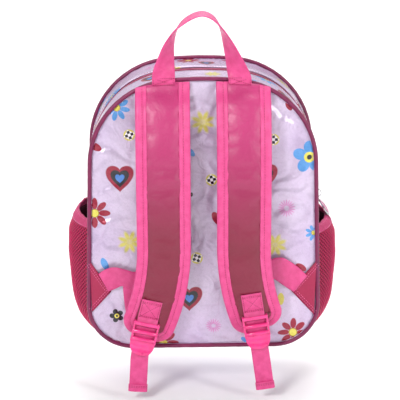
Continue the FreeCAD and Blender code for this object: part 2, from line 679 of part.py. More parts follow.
def make_adjuster(label, side):
    """Three-bar adjuster with a thumb tongue, hung on its upper bar."""
    wide, long, wall = size("adjuster_width"), size("adjuster_length"), size("adjuster_wall")
    rail, radius, pitch = size("rail_width"), size("bar_radius"), size("bar_pitch")
    pieces = []
    for edge in (-wide / 2, wide / 2 - rail):
        block_shape = Part.makeBox(rail, wall, 2 * pitch + 2 * radius, V(edge, -wall / 2, -2 * pitch - radius))
        upright = [line for line in block_shape.Edges if line.Length > wall + 1]
        pieces.append(block_shape.makeFillet(0.7, upright))
    pieces.append(bar(wide - rail, radius, 0, 0))
    for number in (1, 2):
        pieces.append(bar(wide - rail, radius * 1.2, 0, -number * pitch))
    tongue = Part.makeBox(wide - 2, size("tongue_wall"), long - 2 * pitch,
                          V(1 - wide / 2, -wall / 2 - 0.6, -long))
    pieces.append(tongue)
    shape = pieces[0].multiFuse(pieces[1:]).removeSplitter()
    return shape_node(f"adjuster_{label}", leaning(shape, label, side))


def make_tail(label, side):
    """Webbing threaded through the adjuster, and the free tail below it with its folded hem."""
    centre, turn = adjuster_place(label, side)
    width, wall, long = size("web_width"), size("web_wall"), size("adjuster_length")
    lay = 0.4 - size("adjuster_wall") / 2 + size("tongue_wall") + wall / 2
    threaded = Part.makeBox(width, wall, long - 2 * size("bar_pitch") - size("bar_radius") * 1.2,
                            V(-width / 2, lay - wall / 2, -long))
    threaded_node = shape_node(f"threaded_web_{label}", leaning(threaded, label, side))
    hang = FreeCAD.Rotation(V(0, 1, 0), -side * size(f"{label}_tail_lean"))
    start = centre + turn.multVec(V(0, lay, -long - size("tail_gap")))
    hem, tail = size("hem_length"), size("tail_length")
    web = Part.makeBox(width, wall, tail - hem, V(-width / 2, -wall / 2, hem - tail - 1.0))
    fold = Part.makeBox(width + 0.8, size("hem_wall"), hem, V(-width / 2 - 0.4, -size("hem_wall") / 2, -tail - 1.0))
    rounds = [edge for edge in fold.Edges if abs(edge.tangentAt(edge.FirstParameter).x) > 0.9]
    fold = fold.makeFillet(size("hem_wall") * 0.3, rounds)
    for piece in (web, fold):
        piece.Placement = FreeCAD.Placement(start, hang)
    return [threaded_node, shape_node(f"tail_web_{label}", web), shape_node(f"tail_hem_{label}", fold)]


def make_straps():
    nodes = []
    for label, side in (("left", -1), ("right", 1)):
        nodes += make_strap(label, side)
        nodes.append(make_keeper(label, side))
        nodes.append(make_adjuster(label, side))
        nodes += make_tail(label, side)
    return nodes


# ---------------------------------------------------------------- zip pull

def pull_frame():
    """Point on the right side's surface under the slider, in bag coordinates."""
    height = size("slider_height")
    flare = size("front_flare") * size("zip_offset") / size("bag_depth")
    return V(side_at(height) + flare, size("zip_offset"), height)


def slotted_tab(pivot):
    """Flat pull with a cross bar under the slider's bail and an eye for the ring."""
    long, wide, wall, slot = size("tab_length"), size("tab_width"), size("tab_wall"), size("tab_slot")
    plate = Part.makeBox(wall, wide, long, pivot + V(-wall / 2, -wide / 2, -long))
    ends = [edge for edge in plate.Edges if abs(edge.tangentAt(edge.FirstParameter).x) > 0.9
            and edge.Vertexes[0].Point.z < pivot.z - wall]
    plate = plate.makeFillet(wide / 2 - 0.2, ends)
    window = Part.makeBox(wall * 2, slot, size("tab_window"), pivot + V(-wall, -slot / 2, -size("tab_window")))
    cross = Part.makeCylinder(wall / 2, wide, pivot + V(0, -wide / 2, 0), V(0, 1, 0))
    eye = Part.makeCylinder(size("tab_hole"), wall * 2, tab_eye(pivot) - V(wall, 0, 0), V(1, 0, 0))
    return plate.cut(window).fuse(cross).cut(eye).removeSplitter()


def tab_eye(pivot):
    return pivot - V(0, 0, size("tab_length") - size("tab_hole") - 1.1)


def charm_back():
    """Disc with a lug, drawn hanging from the middle of the lug's hole."""
    radius, wall, drop = size("charm_radius"), size("charm_wall"), size("charm_drop")
    half = size("charm_lug")
    lug = Part.makeBox(wall, 2 * half, 2 * drop + half, V(-wall / 2, -half, -2 * drop))
    crown = [edge for edge in lug.Edges if abs(edge.tangentAt(edge.FirstParameter).x) > 0.9
             and edge.Vertexes[0].Point.z > 0]
    disc = Part.makeCylinder(radius, wall, V(-wall / 2, 0, -radius - drop), V(1, 0, 0))
    hole = Part.makeCylinder(size("charm_hole"), wall * 2, V(-wall, 0, 0), V(1, 0, 0))
    return disc.fuse(lug.makeFillet(half * 0.8, crown)).cut(hole).removeSplitter()


def charm_face():
    """Domed face that sits on the disc."""
    wall, cap = size("charm_wall"), size("charm_dome")
    radius = size("charm_radius") - size("charm_rim")
    ball = (radius ** 2 + cap ** 2) / (2 * cap)
    centre = V(wall / 2, 0, -size("charm_radius") - size("charm_drop"))
    slab = Part.makeCylinder(radius, cap * 2, centre, V(1, 0, 0))
    return Part.makeSphere(ball, centre + V(cap - ball, 0, 0)).common(slab)


def make_zip_pull():
    """Slider on the right side of the zip, with its pull, split ring and charm."""
    base = pull_frame()
    long, wide, wall = size("slider_length"), size("slider_width"), size("slider_wall")
    wire, reach = size("bail_wire"), size("bail_radius")
    plate = Part.makeBox(wall, wide, long, base + V(size("slider_gap"), -wide / 2, -long / 2))
    plate = plate.makeFillet(0.5, plate.Edges)
    saddle = base + V(size("slider_gap") + wall, 0, 0)
    outside = Part.makeBox(20, 20, 40, saddle - V(0.4, 10, 20))
    bail = Part.makeTorus(reach, wire, saddle, V(0, 1, 0)).common(outside)
    nodes = [shape_node("slider_body", plate.fuse(bail).removeSplitter())]

    pivot = saddle + V(reach - wire - size("tab_wall") / 2 - size("pull_gap"), 0, 0)
    nodes.append(shape_node("pull_tab", slotted_tab(pivot)))

    radius, ring_wire, eye = size("ring_radius"), size("ring_wire"), tab_eye(pivot)
    ring_x = base.x + radius + ring_wire + size("slider_gap")
    swing = math.asin(min((ring_x - eye.x) / radius, 0.9))
    ring_centre = V(ring_x, eye.y, eye.z - radius * math.cos(swing))
    nodes.append(shape_node("split_ring", Part.makeTorus(radius, ring_wire, ring_centre, V(0, 1, 0))))

    hang = FreeCAD.Placement(ring_centre - V(0, 0, radius), FreeCAD.Rotation(V(0, 1, 0), -size("charm_lean")))
    for name, shape in (("charm_back", charm_back()), ("charm_face", charm_face())):
        shape.Placement = hang
        nodes.append(shape_node(name, shape))
    print("pull pivot", bag_place().multVec(pivot), "ring eye", bag_place().multVec(eye),
          "charm pivot", bag_place().multVec(hang.Base))
    return nodes


# ---------------------------------------------------------------- build

def build():
    fill_sheet()
    nodes = []
    for maker in (make_back, make_gusset, make_zip, make_front, make_piping, make_base_board, make_pockets,
                  make_side_tabs, make_anchor_webs, make_carry_loop, make_straps, make_zip_pull):
        nodes += maker()
    DOC.recompute()
    for item in DOC.Objects:
        if "Invalid" in item.State or "Error" in item.State:
            raise RuntimeError(f"{item.Name}: {item.State}")
    os.makedirs("parts", exist_ok=True)
    for node in nodes:
        if node.Shape.isNull() or not node.Shape.isValid() or not node.Shape.Solids:
            raise RuntimeError(f"{node.Name} has no valid solid")
        node.Label = node.Name
        node.Shape.exportStep(f"parts/{node.Label}.step")
        box = node.Shape.BoundBox
        print(f"{node.Label:24s} {node.Shape.Volume:10.1f} mm3  {len(node.Shape.Solids)} solid(s)  "
              f"x {box.XMin:.1f}..{box.XMax:.1f}  y {box.YMin:.1f}..{box.YMax:.1f}  z {box.ZMin:.1f}..{box.ZMax:.1f}")
    print(len(nodes), "nodes")


build()
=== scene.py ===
"""A child's school backpack hung by its carry loop: cloth, webbing, net and fittings round the frame."""
import json
import math
import random

import bmesh
import bpy
import numpy as np
from mathutils import Matrix, Vector, noise
from mathutils.geometry import delaunay_2d_cdt

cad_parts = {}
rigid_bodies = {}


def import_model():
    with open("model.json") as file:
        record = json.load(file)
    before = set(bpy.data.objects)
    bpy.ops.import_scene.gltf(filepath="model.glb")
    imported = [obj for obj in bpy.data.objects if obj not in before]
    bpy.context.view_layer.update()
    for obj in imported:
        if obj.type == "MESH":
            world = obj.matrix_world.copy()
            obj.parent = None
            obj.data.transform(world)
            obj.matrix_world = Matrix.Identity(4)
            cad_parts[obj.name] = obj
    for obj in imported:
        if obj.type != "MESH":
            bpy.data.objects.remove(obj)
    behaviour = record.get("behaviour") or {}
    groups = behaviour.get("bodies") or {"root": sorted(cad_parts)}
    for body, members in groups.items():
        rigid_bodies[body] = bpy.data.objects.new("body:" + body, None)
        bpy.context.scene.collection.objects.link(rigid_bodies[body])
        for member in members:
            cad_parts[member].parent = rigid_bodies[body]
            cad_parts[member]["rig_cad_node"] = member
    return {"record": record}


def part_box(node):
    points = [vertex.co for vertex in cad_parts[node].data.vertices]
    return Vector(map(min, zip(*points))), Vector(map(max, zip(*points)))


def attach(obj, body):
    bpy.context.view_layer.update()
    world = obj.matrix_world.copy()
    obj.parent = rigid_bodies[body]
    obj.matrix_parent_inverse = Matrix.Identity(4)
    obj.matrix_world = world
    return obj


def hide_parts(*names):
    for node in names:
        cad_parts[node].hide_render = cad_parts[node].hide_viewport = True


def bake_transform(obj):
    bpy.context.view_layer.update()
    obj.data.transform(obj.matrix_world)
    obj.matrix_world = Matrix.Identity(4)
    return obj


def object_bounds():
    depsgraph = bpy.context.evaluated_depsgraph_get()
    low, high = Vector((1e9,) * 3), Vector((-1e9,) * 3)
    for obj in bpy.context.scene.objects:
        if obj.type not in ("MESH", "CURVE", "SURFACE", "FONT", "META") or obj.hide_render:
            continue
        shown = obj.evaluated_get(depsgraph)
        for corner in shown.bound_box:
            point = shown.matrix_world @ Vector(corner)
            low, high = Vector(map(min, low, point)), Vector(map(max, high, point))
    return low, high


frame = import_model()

CAD_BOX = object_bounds()
MM = 0.001
JOINTS = {joint["name"]: joint for joint in frame["record"]["behaviour"]["joints"]}
SIDES = (("left", -1), ("right", 1))

# shell, in millimetres from the base line of the back panel's outer face
PANEL_LOW, PANEL_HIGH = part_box("back_panel")
HALF_WIDTH = (PANEL_HIGH.x - PANEL_LOW.x) / 2 / MM
PANEL_HEIGHT = (PANEL_HIGH.z - PANEL_LOW.z) / MM
BAG_DEPTH = (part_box("gusset_lower")[1].y - PANEL_LOW.y) / MM
DOME_DEPTH = (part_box("front_panel_lower")[1].y - PANEL_LOW.y) / MM - BAG_DEPTH
BASE_RADIUS, SHOULDER_RADIUS, CROWN_RADIUS, SHOULDER_WIDTH = 48, 95, 410, 247.6
FLARE = 2.5
DOME_INSET = 24
SPLIT_HEIGHT = (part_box("gusset_lower")[1].z - PANEL_LOW.z) / MM
ZIP_END = (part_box("zip_end_tapes")[0].z - PANEL_LOW.z) / MM
ZIP_REAR = (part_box("zip_tape_rear")[0].y - PANEL_LOW.y) / MM
ZIP_FRONT = (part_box("zip_tape_front")[1].y - PANEL_LOW.y) / MM
ZIP_MIDDLE = (ZIP_REAR + ZIP_FRONT) / 2
PIPING_RADIUS = 2.4
CORNER = np.array([0.0, PANEL_LOW.y, PANEL_LOW.z])


def place(points):
    """Metres in the frame for points in the bag's own millimetres."""
    return np.asarray(points, float).reshape(-1, 3) * MM + CORNER


def at(x, y, z):
    return Vector((x * MM, y * MM + CORNER[1], z * MM + CORNER[2]))


def to_bag(point):
    return (np.asarray(point, float) - CORNER) / MM


def smooth(value):
    value = np.clip(value, 0, 1)
    return value * value * (3 - 2 * value)


# ---------------------------------------------------------------- meshes

def mesh_object(name, points, faces, *finishes):
    """Object from points in bag millimetres."""
    mesh = bpy.data.meshes.new(name)
    mesh.from_pydata(place(points).tolist(), [], faces)
    for finish in finishes:
        mesh.materials.append(finish)
    mesh.shade_smooth()
    piece = bpy.data.objects.new(name, mesh)
    bpy.context.scene.collection.objects.link(piece)
    return piece


def finish_piece(piece, body, slot, *nodes):
    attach(piece, body)
    note_piece(piece, slot, *nodes)


def note_piece(piece, slot, *nodes):
    if nodes:
        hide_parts(*nodes)


def outward(piece, weld=0.0):
    """Merges doubles and turns the faces outwards."""
    form = bmesh.new()
    form.from_mesh(piece.data)
    if weld:
        bmesh.ops.remove_doubles(form, verts=form.verts, dist=weld * MM)
    bmesh.ops.recalc_face_normals(form, faces=form.faces)
    form.to_mesh(piece.data)
    form.free()


def keep_evaluated(piece):
    """Applies the modifiers, so that only the plain mesh is left."""
    graph = bpy.context.evaluated_depsgraph_get()
    mesh = bpy.data.meshes.new_from_object(piece.evaluated_get(graph))
    piece.modifiers.clear()
    piece.data = mesh


PRINT_WALL = 1.3


def thicken(piece, wall, offset=-1.0):
    shell = piece.modifiers.new("wall", "SOLIDIFY")
    shell.thickness = wall * MM
    shell.offset = offset
    keep_evaluated(piece)


def set_vectors(mesh, name, values, domain="POINT"):
    layer = mesh.attributes.new(name, "FLOAT_VECTOR", domain)
    layer.data.foreach_set("vector", np.asarray(values, np.float32).ravel())


def grid_faces(rows, columns, closed=False):
    """Quads of a grid stored row by row; closed joins the last column to the first."""
    faces = []
    for row in range(rows - 1):
        for column in range(columns if closed else columns - 1):
            after = (column + 1) % columns
            faces.append((row * columns + column, row * columns + after,
                          (row + 1) * columns + after, (row + 1) * columns + column))
    return faces


def outline():
    """Points and outward normals round the shell in X and Z, from the middle of the base, anticlockwise."""
    base_x, shoulder_x = HALF_WIDTH - BASE_RADIUS, SHOULDER_WIDTH / 2 - SHOULDER_RADIUS
    crown_z = PANEL_HEIGHT - CROWN_RADIUS
    shoulder_z = crown_z + math.sqrt((CROWN_RADIUS - SHOULDER_RADIUS) ** 2 - shoulder_x ** 2)
    crown_angle = math.atan2(shoulder_z - crown_z, shoulder_x)
    rise, run = shoulder_z - BASE_RADIUS, shoulder_x - base_x
    side_angle = math.atan2(rise, run) - math.acos((BASE_RADIUS - SHOULDER_RADIUS) / math.hypot(rise, run))
    half = [(x, 0.0, 0.0, -1.0) for x in np.linspace(0, base_x, 21)[:-1]]

    def arc(x, z, radius, start, end, count):
        for angle in np.linspace(start, end, count):
            half.append((x + radius * math.cos(angle), z + radius * math.sin(angle),
                         math.cos(angle), math.sin(angle)))

    arc(base_x, BASE_RADIUS, BASE_RADIUS, -math.pi / 2, side_angle, 20)
    foot = np.array(half[-1][:2])
    top = np.array([shoulder_x + SHOULDER_RADIUS * math.cos(side_angle),
                    shoulder_z + SHOULDER_RADIUS * math.sin(side_angle)])
    stops = [foot[1], ZIP_END, SPLIT_HEIGHT, top[1]]
    for low, high in zip(stops, stops[1:]):
        for height in np.linspace(low, high, max(2, int((high - low) / 4) + 1))[1:]:
            share = (height - foot[1]) / (top[1] - foot[1])
            half.append((*(foot + share * (top - foot)), math.cos(side_angle), math.sin(side_angle)))
    half.pop()
    arc(shoulder_x, shoulder_z, SHOULDER_RADIUS, side_angle, crown_angle, 28)
    half.pop()
    arc(0, crown_z, CROWN_RADIUS, crown_angle, math.pi / 2, 14)
    mirrored = [(-x, z, -nx, nz) for x, z, nx, nz in half[-2:0:-1]]
    table = np.array(half + mirrored)
    return table[:, :2], table[:, 2:]


RIM, RIM_NORMAL = outline()
RIM_COUNT = len(RIM)
RIM_RUN = np.concatenate([[0], np.cumsum(np.hypot(*(np.roll(RIM, -1, 0) - RIM).T))])[:-1]


def rim_distance(points):
    """How far points in X and Z lie inside the shell's outline."""
    dense = np.concatenate([RIM, (RIM + np.roll(RIM, -1, 0)) / 2])
    gaps = points[:, None, :] - dense[None, :, :]
    return np.hypot(gaps[..., 0], gaps[..., 1]).min(1)


def panel_mesh(spacing, grow=0.0):
    """Points in X and Z and triangles that fill the outline evenly; the rim's points come first."""
    rim = RIM + RIM_NORMAL * grow
    inside = []
    for row, z in enumerate(np.arange(spacing, PANEL_HEIGHT, spacing * 0.866)):
        start = -HALF_WIDTH + (spacing / 2 if row % 2 else 0)
        inside += [(x, z) for x in np.arange(start, HALF_WIDTH, spacing)]
    inside = np.array(inside)
    centre = np.array([0, PANEL_HEIGHT * 0.45])
    angles = np.arctan2(*(RIM - centre).T[::-1])
    order = np.argsort(angles)
    reach = np.interp(np.arctan2(*(inside - centre).T[::-1]), angles[order],
                      np.hypot(*(RIM - centre).T)[order], period=2 * math.pi)
    keep = (np.hypot(*(inside - centre).T) < reach) & (rim_distance(inside) > spacing * 0.62)
    points = np.concatenate([rim, inside[keep]])
    ring = list(range(RIM_COUNT))
    flat = delaunay_2d_cdt([Vector(point) for point in points], [], [ring], 1, 1e-5)
    return np.array([tuple(point) for point in flat[0]]), [tuple(face) for face in flat[2]]


def curl(x, y, z, size, seed=0.0):
    """Soft noise between about -1 and 1; size is its grain in millimetres."""
    return noise.noise(Vector((x / size + seed, y / size, z / size)))


def pucker(points, size, seed=0.0):
    return np.array([curl(*point, size, seed) for point in points])


# ---------------------------------------------------------------- node helpers

def put(tree, kind, inputs=(), **settings):
    """Adds a node; inputs maps a socket's name or place to a value or to another socket."""
    node = tree.nodes.new(kind)
    for key, value in settings.items():
        setattr(node, key, value)
    for key, value in dict(inputs).items():
        if isinstance(value, bpy.types.NodeSocket):
            tree.links.new(value, node.inputs[key])
        else:
            node.inputs[key].default_value = value
    return node


def calc(tree, operation, *values, clamp=False):
    node = put(tree, "ShaderNodeMath", enumerate(values), operation=operation, use_clamp=clamp)
    return node.outputs[0]


def blend_colour(tree, factor, first, second, how="MIX"):
    node = put(tree, "ShaderNodeMix", data_type="RGBA", blend_type=how)
    for key, value in ((0, factor), (6, first), (7, second)):
        if isinstance(value, bpy.types.NodeSocket):
            tree.links.new(value, node.inputs[key])
        else:
            node.inputs[key].default_value = value
    return node.outputs[2]


def shade_group(name, inputs, outputs):
    """Shader group with its named sockets; returns the tree, its inputs and its output node."""
    tree = bpy.data.node_groups.new(name, "ShaderNodeTree")
    for label, (kind, value) in inputs.items():
        socket = tree.interface.new_socket(label, in_out="INPUT", socket_type=kind)
        if value is not None:
            socket.default_value = value
    for label, kind in outputs.items():
        tree.interface.new_socket(label, in_out="OUTPUT", socket_type=kind)
    return tree, tree.nodes.new("NodeGroupInput").outputs, tree.nodes.new("NodeGroupOutput")


FLOAT, COLOUR, VECTOR = "NodeSocketFloat", "NodeSocketColor", "NodeSocketVector"


def ink(red, green, blue):
    """Linear colour from the everyday 0 to 255 values."""
    linear = []
    for part in (red, green, blue):
        part /= 255
        linear.append(part / 12.92 if part <= 0.04045 else ((part + 0.055) / 1.055) ** 2.4)
    return (*linear, 1.0)


def build_weave():
    """Over-and-under cloth: height and a thread shade, from a position in millimetres; the shade is random tone
    plus painted shade on the thread relief.
    """
    tree, given, out = shade_group(
        "weave", {"Position": (VECTOR, None), "Thread": (FLOAT, 0.6), "Slack": (FLOAT, 0.3)},
        {"Height": FLOAT, "Shade": FLOAT})
    drift = put(tree, "ShaderNodeTexNoise", {"Vector": given["Position"], "Scale": 0.35, "Detail": 2.0})
    nudge = calc(tree, "MULTIPLY", calc(tree, "SUBTRACT", drift.outputs[0], 0.5), given["Slack"])
    parts = put(tree, "ShaderNodeSeparateXYZ", {0: given["Position"]})
    turn = calc(tree, "DIVIDE", math.pi, given["Thread"])
    flat = calc(tree, "ADD", calc(tree, "ADD", parts.outputs[0],
                                  calc(tree, "MULTIPLY", parts.outputs[1], 0.6)), nudge)
    warp = calc(tree, "SINE", calc(tree, "MULTIPLY", flat, turn))
    weft = calc(tree, "SINE", calc(tree, "MULTIPLY", calc(tree, "ADD", parts.outputs[2], nudge), turn))
    over = calc(tree, "MULTIPLY", warp, weft)
    height = calc(tree, "ADD", calc(tree, "MULTIPLY", over, 0.35), 0.5)
    tree.links.new(height, out.inputs["Height"])
    # painted shade on the relief: the over-and-under term lightens and darkens the crossings; the drift noise
    # is random tone
    shade = calc(tree, "ADD", calc(tree, "MULTIPLY", drift.outputs[0], 0.5),
                 calc(tree, "MULTIPLY", over, 0.2))
    tree.links.new(shade, out.inputs["Shade"])
    return tree


def build_ribs():
    """Webbing: ribs along the run and fine picks across it, from the run attribute in millimetres; its shade
    adds painted highlight on the raised ribs.
    """
    tree, given, out = shade_group(
        "webbing_ribs", {"Run": (VECTOR, None), "Rib": (FLOAT, 1.6), "Pick": (FLOAT, 1.1)},
        {"Height": FLOAT, "Shade": FLOAT})
    parts = put(tree, "ShaderNodeSeparateXYZ", {0: given["Run"]})
    rib = calc(tree, "SINE", calc(tree, "DIVIDE", calc(tree, "MULTIPLY", parts.outputs[0], 2 * math.pi),
                                  given["Rib"]))
    step = calc(tree, "MULTIPLY", calc(tree, "SIGN", rib), 0.25)
    along = calc(tree, "ADD", calc(tree, "DIVIDE", parts.outputs[1], given["Pick"]), step)
    pick = calc(tree, "SINE", calc(tree, "MULTIPLY", along, 2 * math.pi))
    height = calc(tree, "ADD", calc(tree, "MULTIPLY", calc(tree, "ABSOLUTE", rib), 0.7),
                  calc(tree, "MULTIPLY", pick, 0.22))
    tree.links.new(height, out.inputs["Height"])
    worn = put(tree, "ShaderNodeTexNoise", {"Vector": given["Run"], "Scale": 0.12, "Detail": 4.0})
    # shade: random worn tone plus painted highlight on the raised ribs, taken from their height
    shade = calc(tree, "ADD", calc(tree, "MULTIPLY", worn.outputs[0], 0.7),
                 calc(tree, "MULTIPLY", height, 0.3))
    tree.links.new(shade, out.inputs["Shade"])
    return tree


def build_creases():
    """Soft creases of a coated cloth over light foam, from a position in millimetres."""
    tree, given, out = shade_group("creases", {"Position": (VECTOR, None), "Size": (FLOAT, 30.0)},
                                   {"Height": FLOAT})
    scaled = put(tree, "ShaderNodeVectorMath", {0: given["Position"], 3: 1.0}, operation="SCALE")
    tree.links.new(calc(tree, "DIVIDE", 1.0, given["Size"]), scaled.inputs[3])
    broad = put(tree, "ShaderNodeTexNoise", {"Vector": scaled.outputs[0], "Scale": 1.0, "Detail": 2.0,
                                             "Distortion": 1.4})
    fold = put(tree, "ShaderNodeTexNoise", {"Vector": scaled.outputs[0], "Scale": 2.6, "Detail": 1.0,
                                            "Distortion": 2.2})
    ridge = calc(tree, "ABSOLUTE", calc(tree, "SUBTRACT", fold.outputs[0], 0.5))
    height = calc(tree, "SUBTRACT", broad.outputs[0], calc(tree, "MULTIPLY", ridge, 0.45))
    tree.links.new(height, out.inputs["Height"])
    return tree


WEAVE, RIBS, CREASES = build_weave(), build_ribs(), build_creases()


def build_print():
    """Printed motifs: reads each face's motif (place in the motif, kind) and its main colour."""
    tree, _, out = shade_group("print_motifs", {}, {"Colour": COLOUR, "Cover": FLOAT})
    motif = put(tree, "ShaderNodeAttribute", attribute_name="motif")
    tint = put(tree, "ShaderNodeAttribute", attribute_name="motif_tint")
    parts = put(tree, "ShaderNodeSeparateXYZ", {0: motif.outputs["Vector"]})
    x, y, kind = parts.outputs

    def is_kind(number):
        return calc(tree, "COMPARE", kind, float(number), 0.4)

    def edge(level, value, sharp=14.0):
        """1 where value is below level, with a soft step."""
        return calc(tree, "MULTIPLY", calc(tree, "SUBTRACT", level, value), sharp, clamp=True)

    def both(first, second):
        return calc(tree, "MULTIPLY", first, second)

    def radius(px, py, wide=1.0, tall=1.0):
        across = calc(tree, "POWER", calc(tree, "DIVIDE", px, wide), 2.0)
        along = calc(tree, "POWER", calc(tree, "DIVIDE", py, tall), 2.0)
        return calc(tree, "SQRT", calc(tree, "ADD", across, along))

    def heart(scale, lift):
        """Value that is below 1 inside a heart of the given scale."""
        px = calc(tree, "DIVIDE", calc(tree, "ABSOLUTE", x), scale)
        py = calc(tree, "DIVIDE", calc(tree, "SUBTRACT", y, lift), scale)
        notch = calc(tree, "MULTIPLY", calc(tree, "POWER", px, 0.62), 0.62)
        return radius(px, calc(tree, "SUBTRACT", calc(tree, "ADD", py, 0.12), notch), 0.98, 0.84)

    def petals(count, middle, long, wide):
        """Value that is below 1 inside a ring of petals."""
        angle = calc(tree, "ARCTAN2", y, x)
        step = 2 * math.pi / count
        folded = calc(tree, "SUBTRACT", calc(tree, "FLOORED_MODULO", angle, step), step / 2)
        far = radius(x, y)
        along = calc(tree, "SUBTRACT", calc(tree, "MULTIPLY", far, calc(tree, "COSINE", folded)), middle)
        aside = calc(tree, "MULTIPLY", far, calc(tree, "SINE", folded))
        return radius(along, aside, long, wide)

    far = radius(x, y)
    rough = put(tree, "ShaderNodeTexNoise", {"Vector": motif.outputs["Vector"], "Scale": 2.4, "Detail": 3.0})
    ragged = calc(tree, "ADD", far, calc(tree, "MULTIPLY", calc(tree, "SUBTRACT", rough.outputs[0], 0.5),
                                         1.3))
    kinds = {
        1: edge(1.0, heart(1.0, 0.0)),
        2: edge(1.0, petals(8, 0.61, 0.39, 0.2), 9.0),
        3: edge(1.0, petals(5, 0.58, 0.42, 0.36), 9.0),
        4: calc(tree, "MAXIMUM", both(edge(1.1, petals(8, 0.5, 0.5, 0.21), 1.8), 0.95),
                both(edge(0.8, ragged, 1.6), 0.7)),
        5: edge(1.0, far),
        6: both(edge(1.0, petals(18, 0.62, 0.4, 0.06), 5.0), 0.9),
        7: edge(1.0, radius(x, y, 0.52, 1.0)),
    }
    cover = None
    for number, mask in kinds.items():
        share = both(is_kind(number), mask)
        cover = share if cover is None else calc(tree, "ADD", cover, share)
    black, blue, yellow = ink(22, 14, 28), ink(72, 128, 205), ink(222, 212, 88)
    colour = tint.outputs["Color"]
    is_heart, is_daisy, is_flower, is_disc = (is_kind(number) for number in (1, 2, 3, 5))
    colour = blend_colour(tree, both(is_heart, edge(1.0, heart(0.66, 0.02))), colour, black)
    colour = blend_colour(tree, both(is_heart, edge(1.0, heart(0.34, 0.03), 8.0)), colour, blue)
    centre = both(is_daisy, edge(0.3, far, 30.0))
    colour = blend_colour(tree, centre, colour, ink(150, 110, 30))
    colour = blend_colour(tree, both(is_daisy, edge(0.25, far, 30.0)), colour, yellow)
    colour = blend_colour(tree, both(is_flower, edge(0.34, far, 30.0)), colour, yellow)
    colour = blend_colour(tree, both(is_flower, edge(0.17, far, 30.0)), colour, black)
    cover = calc(tree, "MAXIMUM", cover, calc(tree, "MAXIMUM", centre,
                                              both(is_flower, edge(0.34, far, 30.0))))
    diamond = calc(tree, "ADD", calc(tree, "ABSOLUTE", x), calc(tree, "ABSOLUTE", y))
    squares = calc(tree, "MULTIPLY", calc(tree, "SIGN", calc(tree, "COSINE", calc(tree, "MULTIPLY", x, 6.6))),
                   calc(tree, "SIGN", calc(tree, "COSINE", calc(tree, "MULTIPLY", y, 6.6))))
    checked = blend_colour(tree, calc(tree, "ADD", calc(tree, "MULTIPLY", squares, 0.5), 0.5), black,
                           ink(245, 240, 245))
    colour = blend_colour(tree, both(is_disc, edge(0.98, diamond)), colour, checked)
    tree.links.new(colour, out.inputs["Colour"])
    tree.links.new(calc(tree, "MINIMUM", cover, 1.0), out.inputs["Cover"])
    return tree


PRINT = build_print()


def use_group(tree, group, **values):
    node = put(tree, "ShaderNodeGroup", node_tree=group)
    for key, value in values.items():
        if isinstance(value, bpy.types.NodeSocket):
            tree.links.new(value, node.inputs[key])
        else:
            node.inputs[key].default_value = value
    return node


def new_finish(name):
    """Material with its Principled surface; returns the material, its tree and the surface."""
    finish = bpy.data.materials.new(name)
    finish.use_nodes = True
    surface = next(node for node in finish.node_tree.nodes if node.type == "BSDF_PRINCIPLED")
    return finish, finish.node_tree, surface


def millimetres(tree):
    """Object coordinates in millimetres."""
    place_node = put(tree, "ShaderNodeTexCoord")
    scaled = put(tree, "ShaderNodeVectorMath", {0: place_node.outputs["Object"]}, operation="SCALE")
    scaled.inputs[3].default_value = 1000.0
    return scaled.outputs[0]


def drive(tree, surface, **values):
    """Sets or joins the surface's inputs; underscores stand for spaces."""
    for key, value in values.items():
        socket = surface.inputs[key.replace("_", " ")]
        if isinstance(value, bpy.types.NodeSocket):
            tree.links.new(value, socket)
        else:
            socket.default_value = value


def relief(tree, height, depth, normal=None):
    """Bump whose depth is in millimetres."""
    node = put(tree, "ShaderNodeBump", {"Height": height, "Distance": depth * MM, "Strength": 1.0})
    if normal is not None:
        tree.links.new(normal, node.inputs["Normal"])
    return node.outputs[0]


def vary(tree, factor, low, high, spread=1.0):
    """Colour between two shades, following a value round one half."""
    eased = calc(tree, "ADD", calc(tree, "MULTIPLY", calc(tree, "SUBTRACT", factor, 0.5), spread), 0.5,
                 clamp=True)
    return blend_colour(tree, eased, low, high)


def run_coordinates(tree):
    return put(tree, "ShaderNodeAttribute", attribute_name="run").outputs["Vector"]


def pearl_cloth(name, printed=True):
    """Coated satin with a pearly lavender face and printed motifs; painted shade darkens the face towards
    grazing angles.
    """
    finish, tree, surface = new_finish(name)
    spot = millimetres(tree)
    weave = use_group(tree, WEAVE, Position=spot, Thread=0.42, Slack=0.2)
    creases = use_group(tree, CREASES, Position=spot, Size=60.0)
    cloud = put(tree, "ShaderNodeTexNoise", {"Vector": spot, "Scale": 0.018, "Detail": 3.0})
    base = vary(tree, cloud.outputs[0], ink(186, 166, 200), ink(214, 201, 222), 1.6)
    # painted shade: the colour deepens to a darker lavender towards grazing angles
    facing = put(tree, "ShaderNodeLayerWeight", {"Blend": 0.35})
    base = blend_colour(tree, calc(tree, "MULTIPLY", facing.outputs["Facing"], 0.5), base, ink(176, 140, 182))
    base = blend_colour(tree, calc(tree, "MULTIPLY", weave.outputs["Shade"], 0.12), base, ink(160, 120, 160))
    if printed:
        art = use_group(tree, PRINT)
        base = blend_colour(tree, art.outputs["Cover"], base, art.outputs["Colour"])
    soft = relief(tree, creases.outputs["Height"], 2.2)
    drive(tree, surface, Base_Color=base, Roughness=vary_value(tree, weave.outputs["Shade"], 0.26, 0.36),
          Metallic=0.22, Coat_Weight=0.6, Coat_Roughness=0.22,
          Normal=relief(tree, weave.outputs["Height"], 0.05, soft))
    return finish


def vary_value(tree, factor, low, high):
    return calc(tree, "ADD", low, calc(tree, "MULTIPLY", factor, high - low))


